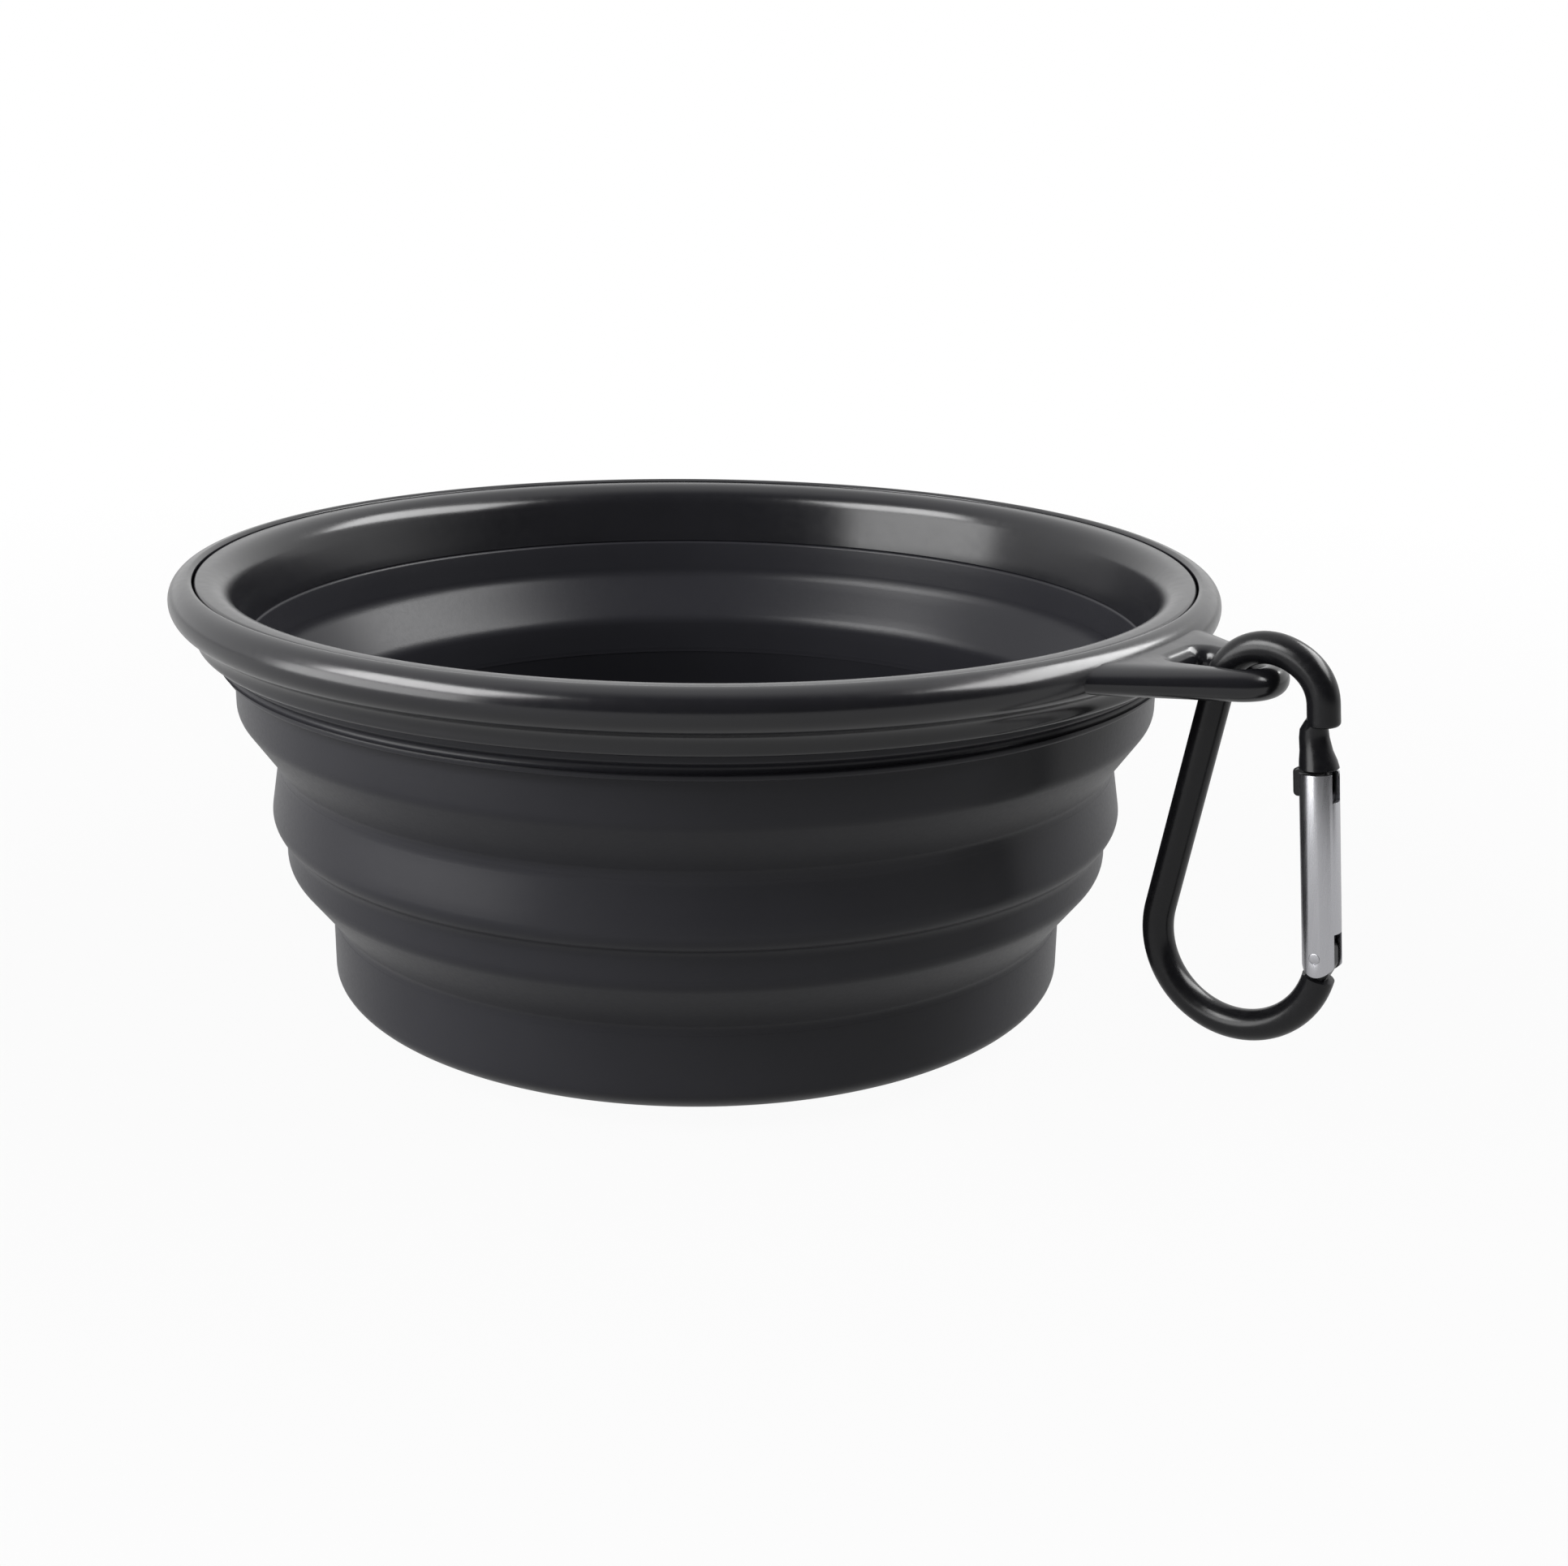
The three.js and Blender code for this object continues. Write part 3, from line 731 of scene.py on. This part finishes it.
def rod_line():
    """Middle line of the bent rod in its own plane, in mm, from the nose over the arch to the foot."""
    bends = [
        (TOP_BEND, top_centre, side_angle, math.pi - side_angle),
        (BOTTOM_BEND, bottom_centre, math.pi - side_angle, math.tau + side_angle - end_angle),
    ]
    points = []
    for radius, height, start, end in bends:
        steps = math.ceil(radius * (end - start) / ROD_SPACING)
        angles = [start + (end - start) * k / steps for k in range(steps + 1)]
        points += [Vector((radius * math.cos(a), height + radius * math.sin(a))) for a in angles]
    down = Vector((math.sin(side_angle), -math.cos(side_angle)))
    line = [points[0] + down * (SHOULDER - SHOULDER_ROUND)]
    for here, there in zip(line + points, points):
        parts = max(1, math.ceil((there - here).length / ROD_SPACING))
        line += [here.lerp(there, k / parts) for k in range(1, parts + 1)]
    # The free end stands a little further out, and the arch eases over to it
    for point in line:
        in_arch = point.y > top_centre - 2 * SHOULDER
        reach = min(1, max(0, point.x / TOP_BEND)) if in_arch else 0
        point.x += NOSE_OFFSET * reach * reach * (3 - 2 * reach)
    return line


def ellipse(x, width, depth, sides):
    """Points once round an ellipse, in mm."""
    return arc(x, 0, width, depth, 0, 360, sides)[:-1]


def lofted(name, sections):
    """A closed form through elliptic sections (height, middle, half width, half depth) in mm."""
    return skinned(name, [at_height(ellipse(*section, NOSE_SIDES), z) for z, *section in sections])


def flat_plate(name, corners, thickness):
    """An upright plate in XZ round y 0 with rounded edges, from (x, z, fillet) corners in mm."""
    curve = bpy.data.curves.new(name, "CURVE")
    curve.dimensions = "2D"
    curve.fill_mode = "BOTH"
    curve.extrude = (thickness / 2 - TONGUE_EDGE) * MM
    curve.bevel_depth = TONGUE_EDGE * MM
    curve.bevel_resolution = EDGE_STEPS
    curve.offset = -TONGUE_EDGE * MM
    outline = rounded(corners)
    spline = curve.splines.new("POLY")
    spline.points.add(len(outline) - 1)
    for point, place in zip(spline.points, outline):
        point.co = (place.x * MM, place.y * MM, 0, 1)
    spline.use_cyclic_u = True
    drawn = bpy.data.objects.new(name + "_outline", curve)
    bpy.context.scene.collection.objects.link(drawn)
    graph = bpy.context.evaluated_depsgraph_get()
    plate = bpy.data.objects.new(name, bpy.data.meshes.new_from_object(drawn.evaluated_get(graph)))
    bpy.context.scene.collection.objects.link(plate)
    bpy.data.objects.remove(drawn)
    settled(plate)
    # A narrow flat border keeps the rounded edge from shading the flat faces
    shell = bmesh.new()
    shell.from_mesh(plate.data)
    flat = [face for face in shell.faces if abs(face.normal.z) > FLAT_LIMIT]
    bmesh.ops.inset_region(shell, faces=flat, thickness=PLATE_BORDER * MM, use_even_offset=True)
    shell.to_mesh(plate.data)
    shell.free()
    plate.data.transform(UPRIGHT)
    return plate


joints = {joint["name"]: joint for joint in frame["joints"]}
side_angle = math.asin((BOTTOM_BEND - TOP_BEND) / BEND_SPACING)
top_centre = LUG_THICKNESS / 2 + HANG_GAP - (TOP_BEND - ROD / 2)
bottom_centre = top_centre - BEND_SPACING
pin_below_bend = SHOULDER + NOSE_LENGTH + GATE_TOP_GAP + GATE_ABOVE_PIN
end_below_bend = pin_below_bend + ROD_END_BELOW_PIN
end_angle = (end_below_bend - BEND_SPACING * math.cos(side_angle)) / BOTTOM_BEND
hang_turn = Matrix.Rotation(HANG_TILT, 4, "Y")
hanging = Matrix.Translation(joints["carabiner_swing"]["pos_m"]) @ hang_turn
gate_turn = Matrix.Rotation(HANG_TILT - side_angle, 4, "Y")
gate_place = Matrix.Translation(joints["gate_hinge"]["pos_m"]) @ gate_turn
anodised = black_anodised_aluminium()
rod_points = [(p.x * MM, 0, p.y * MM) for p in rod_line()]
body = new_piece("carabiner_rod", rod_points, [(i, i + 1) for i in range(len(rod_points) - 1)])
shaped(body, rod_sweep(), {"Diameter": ROD * MM, "Sides": ROD_SIDES, "Finish": anodised})
body.data.transform(hanging)
nose_low = GATE_ABOVE_PIN + GATE_TOP_GAP
nose_high = nose_low + NOSE_LENGTH
nose = lofted(
    "nose",
    [
        (nose_low, 0, GATE / 2 - NOSE_BEVEL, GATE / 2 - NOSE_BEVEL),
        (nose_low + NOSE_BEVEL, 0, GATE / 2, GATE / 2),
        *[(nose_low + height, *section) for height, *section in NOSE_FORM],
    ],
)
end_round = arc(ROD / 2 - SHOULDER_ROUND, 0, SHOULDER_ROUND, 1, 90, 0, EDGE_STEPS)
shoulder_form = [(nose_high + SHOULDER_ROUND * (1 - z), width) for width, z, _ in end_round]
shoulder_form.append((nose_high + SHOULDER_ROUND + SHOULDER_OVERLAP, ROD / 2 - SEAM))
shoulder = lofted("shoulder", [(height, NOSE_OFFSET, width, width) for height, width in shoulder_form])
nose_lip = GATE / 2 + NOSE_LIP
tongue_end = GATE_ABOVE_PIN - NOSE_TONGUE_DEPTH
nose_tongue = flat_plate(
    "nose_tongue",
    [
        (-nose_lip, tongue_end, NOSE_TONGUE_CORNER),
        (NOSE_TONGUE_OUTSIDE, tongue_end, NOSE_TONGUE_CORNER),
        (NOSE_TONGUE_OUTSIDE, nose_low + NOSE_TONGUE_ROOT, 0),
        (0, nose_low + NOSE_TONGUE_ROOT, 0),
        (-nose_lip, nose_low, NOSE_TONGUE_CORNER),
    ],
    NOSE_TONGUE,
)
pivot_tongue = flat_plate(
    "pivot_tongue",
    [
        (-PIVOT_TONGUE_WIDTH / 2, -ROD_END_BELOW_PIN - PIVOT_TONGUE_ROOT, 0),
        (0, -ROD_END_BELOW_PIN - PIVOT_TONGUE_ROOT, 0),
        (PIVOT_TONGUE_WIDTH / 2, -PIVOT_TONGUE_ROOT, PIVOT_TONGUE_CORNER),
        (PIVOT_TONGUE_WIDTH / 2, PIVOT_TONGUE_ABOVE_PIN, PIVOT_TONGUE_CORNER),
        (-PIVOT_TONGUE_WIDTH / 2, PIVOT_TONGUE_ABOVE_PIN, PIVOT_TONGUE_CORNER),
    ],
    PIVOT_TONGUE,
)
for end in (shoulder, nose, nose_tongue, pivot_tongue):
    end.data.transform(gate_place)
    combined(body, end, "UNION", anodised)
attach(body, "carabiner")
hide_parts("carabiner_body")

# Rivet, plunger and spring of the gate
# A plain steel rivet through the gate's ears and the rod's tongue is the gate's hinge.
# Inside the gate a wound steel spring pushes a steel plunger on the tongue, so the gate snaps shut.

PIN = 1.2
PIN_LENGTH = 4.14
PIN_DOME = 0.05
PIN_DOME_TURN = 80
PLUNGER = 2.3
PLUNGER_LENGTH = 3.5
PLUNGER_LIFT = 0.8
PLUNGER_FILLET = 0.6
PLUNGER_EDGE = 0.25
SPRING = 2.3
SPRING_WIRE = 0.4
SPRING_LENGTH = 7.6
SPRING_CURLS = 6
SPRING_STEPS = 32
WIRE_SIDES = 12
SEAT_GAP = 0.3
SMALL_SEGMENTS = 48


def drawn_steel():
    """Plain drawn steel: a mid grey metal with fine marks from the die, a little dull."""
    # The marks are drawn a few times as coarse as real ones, so that they show
    mark_size = 0.3 * MM
    material, tree, shader, place = new_material("drawn_steel")
    marks = add_node(
        tree, "ShaderNodeTexNoise", {"Vector": place, "Scale": 1 / mark_size, "Detail": 3}
    )
    dull = add_node(
        tree, "ShaderNodeMapRange", {"Value": marks.outputs[0], "To Min": 0.25, "To Max": 0.42}
    )
    shader.inputs["Metallic"].default_value = 1
    shader.inputs["Base Color"].default_value = colour("#b2b2b6")
    tree.links.new(dull.outputs[0], shader.inputs["Roughness"])
    return material


def coil_spring():
    """Geometry tree of a wound spring that stands on its lower end."""
    tree, sizes = node_group(
        "coil_spring",
        {
            "Curls": "Float",
            "Steps": "Int",
            "Radius": "Float",
            "Rise": "Float",
            "Wire Radius": "Float",
            "Wire Sides": "Int",
        },
    )
    helix = add_node(
        tree,
        "GeometryNodeCurveSpiral",
        {
            "Resolution": sizes["Steps"],
            "Rotations": sizes["Curls"],
            "Start Radius": sizes["Radius"],
            "End Radius": sizes["Radius"],
            "Height": sizes["Rise"],
        },
    )
    section = add_node(
        tree,
        "GeometryNodeCurvePrimitiveCircle",
        {"Resolution": sizes["Wire Sides"], "Radius": sizes["Wire Radius"]},
    )
    wire = add_node(
        tree,
        "GeometryNodeCurveToMesh",
        {"Curve": helix.outputs[0], "Profile Curve": section.outputs[0], "Fill Caps": True},
    )
    close_group(tree, sizes, wire.outputs[0])
    return tree


steel = drawn_steel()
dome_base = PIN_LENGTH / 2 - PIN_DOME
pin = turned(
    "gate_rivet",
    [
        (0, -PIN_LENGTH / 2, 0),
        *arc(0, -dome_base, PIN / 2, PIN_DOME, -PIN_DOME_TURN, 0, EDGE_STEPS),
        *arc(0, dome_base, PIN / 2, PIN_DOME, 0, PIN_DOME_TURN, EDGE_STEPS),
        (0, PIN_LENGTH / 2, 0),
    ],
    steel,
    closed=False,
    segments=SMALL_SEGMENTS,
)
pin.data.transform(gate_place @ UPRIGHT)
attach(pin, "carabiner")
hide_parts("gate_hinge_pin")

plunger_low = PIVOT_TONGUE_ABOVE_PIN + PLUNGER_LIFT
plunger_high = plunger_low + PLUNGER_LENGTH
plunger = turned(
    "gate_plunger",
    [
        (0, plunger_low, 0),
        (PLUNGER / 2, plunger_low, PLUNGER_FILLET),
        (PLUNGER / 2, plunger_high, PLUNGER_EDGE),
        (0, plunger_high, 0),
    ],
    steel,
    closed=False,
    segments=SMALL_SEGMENTS,
)
plunger.data.transform(gate_place)
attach(plunger, "gate")
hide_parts("spring_plunger")

spring_low = plunger_high + SEAT_GAP
spring = new_piece("gate_coil", [(0, 0, 0)], [])
shaped(
    spring,
    coil_spring(),
    {
        "Curls": SPRING_CURLS,
        "Steps": SPRING_STEPS,
        "Radius": (SPRING - SPRING_WIRE) / 2 * MM,
        "Rise": (SPRING_LENGTH - SPRING_WIRE) * MM,
        "Wire Radius": SPRING_WIRE / 2 * MM,
        "Wire Sides": WIRE_SIDES,
        "Finish": steel,
    },
)
spring.data.transform(gate_place @ Matrix.Translation((0, 0, (spring_low + SPRING_WIRE / 2) * MM)))
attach(spring, "gate")
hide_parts("gate_spring")

# Carabiner gate
# A tube of bare satin aluminium with a slit along its inner side, held by the rivet at its lower ears.
# Its top has a notch that closes over the nose's tongue, and its foot a slot for the rod's tongue.

GATE_WALL = 0.7
GATE_SLIT = 2
GATE_NOTCH_GAP = 0.4
GATE_SLOT_ABOVE_PIN = 2.6
GATE_ARC_STEPS = 56
GATE_EDGE = 0.12
GATE_EDGE_STEPS = 3
CUTTER_LENGTH = 3 * GATE
SEAT_THICKNESS = 1
PIN_GAP = 0.02


def satin_aluminium():
    """Bare aluminium tube, brushed along its length: bright and satin, with fine lengthwise lines."""
    # The lines are drawn a few times as wide as real ones, so that they show
    line_width, line_length = 0.25 * MM, 9 * MM
    material, tree, shader, place = new_material("satin_aluminium")
    along = add_node(
        tree,
        "ShaderNodeMapping",
        {
            "Vector": place,
            "Rotation": (0, side_angle - HANG_TILT, 0),
            "Scale": (1 / line_width, 1 / line_width, 1 / line_length),
        },
    )
    lines = add_node(
        tree, "ShaderNodeTexNoise", {"Vector": along.outputs[0], "Scale": 1, "Detail": 3}
    )
    satin = add_node(
        tree, "ShaderNodeMapRange", {"Value": lines.outputs[0], "To Min": 0.2, "To Max": 0.36}
    )
    relief = add_node(
        tree, "ShaderNodeBump", {"Height": lines.outputs[0], "Strength": 0.1, "Distance": 0.02 * MM}
    )
    shader.inputs["Metallic"].default_value = 1
    shader.inputs["Base Color"].default_value = colour("#bebec2")
    tree.links.new(satin.outputs[0], shader.inputs["Roughness"])
    tree.links.new(relief.outputs[0], shader.inputs["Normal"])
    return material


def upright_prism(name, outline, low, high):
    """A prism on a closed outline in mm, between two heights."""
    return skinned(name, [at_height(outline, low), at_height(outline, high)])


def block(name, low, high):
    """A plain cutting block between two corners in mm."""
    outline = [(low[0], low[1], 0), (high[0], low[1], 0), (high[0], high[1], 0), (low[0], high[1], 0)]
    return upright_prism(name, outline, low[2], high[2])


def cross_bar(name, diameter):
    """A round cutting bar along Y through the pin's middle, in mm."""
    outline = ellipse(0, diameter / 2, diameter / 2, SMALL_SEGMENTS)
    bar = upright_prism(name, outline, -CUTTER_LENGTH / 2, CUTTER_LENGTH / 2)
    bar.data.transform(UPRIGHT)
    return bar


satin = satin_aluminium()
bore = GATE / 2 - GATE_WALL
half_slit = GATE_SLIT / 2
outer_slit = math.degrees(math.asin(half_slit / (GATE / 2)))
inner_slit = math.degrees(math.asin(half_slit / bore))
tube_outline = [
    *arc(0, 0, GATE / 2, GATE / 2, outer_slit - 180, 180 - outer_slit, GATE_ARC_STEPS),
    *arc(0, 0, bore, bore, 180 - inner_slit, inner_slit - 180, GATE_ARC_STEPS),
]
gate = upright_prism("gate_tube", tube_outline, -GATE / 2, GATE_ABOVE_PIN)
ears = block("ears", (-GATE, -GATE, -GATE), (GATE, GATE, 0))
combined(ears, cross_bar("ear_round", GATE), "DIFFERENCE", satin)
notch_low = tongue_end - GATE_NOTCH_GAP
cutters = [
    ears,
    block("nose_notch", (0, -half_slit, notch_low), (GATE, half_slit, GATE_ABOVE_PIN + GATE)),
    block("tongue_slot", (0, -half_slit, -GATE), (GATE, half_slit, GATE_SLOT_ABOVE_PIN)),
    cross_bar("rivet_hole", PIN + 2 * PIN_GAP),
]
for cutter in cutters:
    combined(gate, cutter, "DIFFERENCE", satin)
softened = gate.modifiers.new("softened_edges", "BEVEL")
softened.width = GATE_EDGE * MM
softened.segments = GATE_EDGE_STEPS
softened.limit_method = "ANGLE"
softened.angle_limit = SHARP_ANGLE
settled(gate)
seat_low = spring_low + SPRING_LENGTH + SEAT_GAP
seat_radius = bore + GATE_WALL / 2
seat_outline = ellipse(0, seat_radius, seat_radius, SMALL_SEGMENTS)
seat = upright_prism("spring_seat", seat_outline, seat_low, seat_low + SEAT_THICKNESS)
combined(gate, seat, "UNION", satin)
gate.data.transform(gate_place)
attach(gate, "gate")
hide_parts("carabiner_gate")

# Floor, light and camera
# A plain white floor and a white surround, with a soft light on each side and a dim low card at the left.
# The camera stands where the photograph was taken, with the lug turned to the right.

PHOTO_WIDTH = 1932
FOCAL_PIXELS = 2583.9
SENSOR = 36
LUG_TURN = math.radians(37)
CAMERA_SEEN = (11.1, -261.5, 109.6)
CAMERA_PITCH = math.radians(17.46)
CAMERA_ROLL = math.radians(0.97)
FLOOR_GREY = "#8c8c8c"
WHITE = (1, 1, 1, 1)
SURROUND_LIGHT = 0.12
# Shares of white in the floor: near the bowl in the view, and near and far in reflections
NEAR_GLOW = 0.95
MIRRORED_GLOW = 0.45
MIRRORED_FAR_GLOW = 0.62
# The floor's size, the distances where its near white ends and its far white starts, and the lights' aim,
# in metres
FLOOR_SIZE = 20
GLOW_START = 0.1
GLOW_END = 0.4
AIM = (0, 0, 0.035)
# The room's brightness at the camera's side, and how much a direction points away from the camera,
# from -1 to 1, where the room is that dim and where the surround is white
ROOM_DIM = 0.04
DIM_AT = -0.5
WHITE_AT = 0.25
# Each light's place in mm, right, away and up as the camera looks, its size in metres, and its watts
LIGHTS = {
    "left_light": ((-417, -222, 404), (0.4, 0.26), 4.4),
    "left_card": ((-535, -250, 139), (0.5, 0.26), 2.3),
    "right_light": ((439, 77, 436), (0.58, 0.25), 4.6),
}


def as_seen(place):
    """A place in mm given as seen in the photograph, right, away and up, in the frame's metres."""
    return Matrix.Rotation(LUG_TURN, 4, "Z") @ (Vector(place) * MM)


def shown_by_rays(tree):
    """One for a ray from the camera, a reflection or glass, and nought for one that lights a surface."""
    path = add_node(tree, "ShaderNodeLightPath").outputs
    shown = path["Is Camera Ray"]
    for name in ("Is Glossy Ray", "Is Transmission Ray"):
        either = add_node(tree, "ShaderNodeMath", {0: shown, 1: path[name]}, operation="MAXIMUM")
        shown = either.outputs[0]
    return shown


half = FLOOR_SIZE / 2
floor_corners = [(-half, -half, 0), (half, -half, 0), (half, half, 0), (-half, half, 0)]
floor = new_piece("floor", floor_corners, [], [(0, 1, 2, 3)])
paper = bpy.data.materials.new("white_paper")
paper.use_nodes = True
tree = paper.node_tree
tree.nodes.clear()
matt = add_node(tree, "ShaderNodeBsdfDiffuse", {"Color": colour(FLOOR_GREY)})
glow = add_node(tree, "ShaderNodeEmission", {"Color": WHITE, "Strength": 1})
spot = add_node(tree, "ShaderNodeTexCoord").outputs["Object"]
reach = add_node(tree, "ShaderNodeVectorMath", {0: spot}, operation="LENGTH")
# Reflections show part of the floor's own shade, less of it further off, and the view runs out to white.
# The view's white is the surround's, seen through the floor, so a carabiner that hangs lower shows whole
mirrored = add_node(tree, "ShaderNodeLightPath").outputs["Is Glossy Ray"]
clear = add_node(tree, "ShaderNodeBsdfTransparent")
bright = add_node(tree, "ShaderNodeMixShader", {0: mirrored, 1: clear.outputs[0], 2: glow.outputs[0]})
# A mix of numbers has them in its inputs 2 and 3
near = add_node(tree, "ShaderNodeMix", {0: mirrored, 2: NEAR_GLOW, 3: MIRRORED_GLOW}, data_type="FLOAT")
far = add_node(tree, "ShaderNodeMix", {0: mirrored, 2: 1, 3: MIRRORED_FAR_GLOW}, data_type="FLOAT")
whiter = add_node(
    tree,
    "ShaderNodeMapRange",
    {
        "Value": reach.outputs["Value"],
        "From Min": GLOW_START,
        "From Max": GLOW_END,
        "To Min": near.outputs[0],
        "To Max": far.outputs[0],
    },
)
share = add_node(
    tree, "ShaderNodeMath", {0: shown_by_rays(tree), 1: whiter.outputs[0]}, operation="MULTIPLY"
)
mixed = add_node(
    tree, "ShaderNodeMixShader", {0: share.outputs[0], 1: matt.outputs[0], 2: bright.outputs[0]}
)
add_node(tree, "ShaderNodeOutputMaterial", {"Surface": mixed.outputs[0]})
floor.data.materials.append(paper)

world = bpy.data.worlds.new("white_surround")
bpy.context.scene.world = world
world.use_nodes = True
tree = world.node_tree
tree.nodes.clear()
# Reflections see the white surround behind and over the bowl, which dims to the room at the camera's side
looking = add_node(tree, "ShaderNodeTexCoord").outputs["Generated"]
straight_away = as_seen((0, 1 / MM, 0))
away = add_node(tree, "ShaderNodeVectorMath", {0: looking, 1: straight_away}, operation="DOT_PRODUCT")
room = add_node(
    tree,
    "ShaderNodeMapRange",
    {"Value": away.outputs["Value"], "From Min": DIM_AT, "From Max": WHITE_AT, "To Min": ROOM_DIM},
    interpolation_type="SMOOTHSTEP",
)
mirrored = add_node(tree, "ShaderNodeLightPath").outputs["Is Glossy Ray"]
level = add_node(tree, "ShaderNodeMix", {0: mirrored, 2: 1, 3: room.outputs[0]}, data_type="FLOAT")
lit = add_node(tree, "ShaderNodeBackground", {"Color": WHITE, "Strength": SURROUND_LIGHT})
white = add_node(tree, "ShaderNodeBackground", {"Color": WHITE, "Strength": level.outputs[0]})
mixed = add_node(
    tree, "ShaderNodeMixShader", {0: shown_by_rays(tree), 1: lit.outputs[0], 2: white.outputs[0]}
)
add_node(tree, "ShaderNodeOutputWorld", {"Surface": mixed.outputs[0]})

for name, (place, size, watts) in LIGHTS.items():
    lamp = bpy.data.lights.new(name, "AREA")
    lamp.shape = "RECTANGLE"
    lamp.size, lamp.size_y = size
    lamp.energy = watts
    light = bpy.data.objects.new(name, lamp)
    light.location = as_seen(place)
    light.rotation_euler = (Vector(AIM) - light.location).to_track_quat("-Z", "Y").to_euler()
    bpy.context.scene.collection.objects.link(light)

lens = bpy.data.cameras.new("camera")
lens.sensor_width = SENSOR
lens.lens = FOCAL_PIXELS * SENSOR / PHOTO_WIDTH
camera = bpy.data.objects.new("camera", lens)
turn = Matrix.Rotation(LUG_TURN, 4, "Z") @ Matrix.Rotation(math.pi / 2 - CAMERA_PITCH, 4, "X")
roll = Matrix.Rotation(CAMERA_ROLL, 4, "Z")
camera.matrix_world = Matrix.Translation(as_seen(CAMERA_SEEN)) @ turn @ roll
bpy.context.scene.collection.objects.link(camera)
bpy.context.scene.camera = camera
bpy.context.scene.view_settings.view_transform = "Standard"
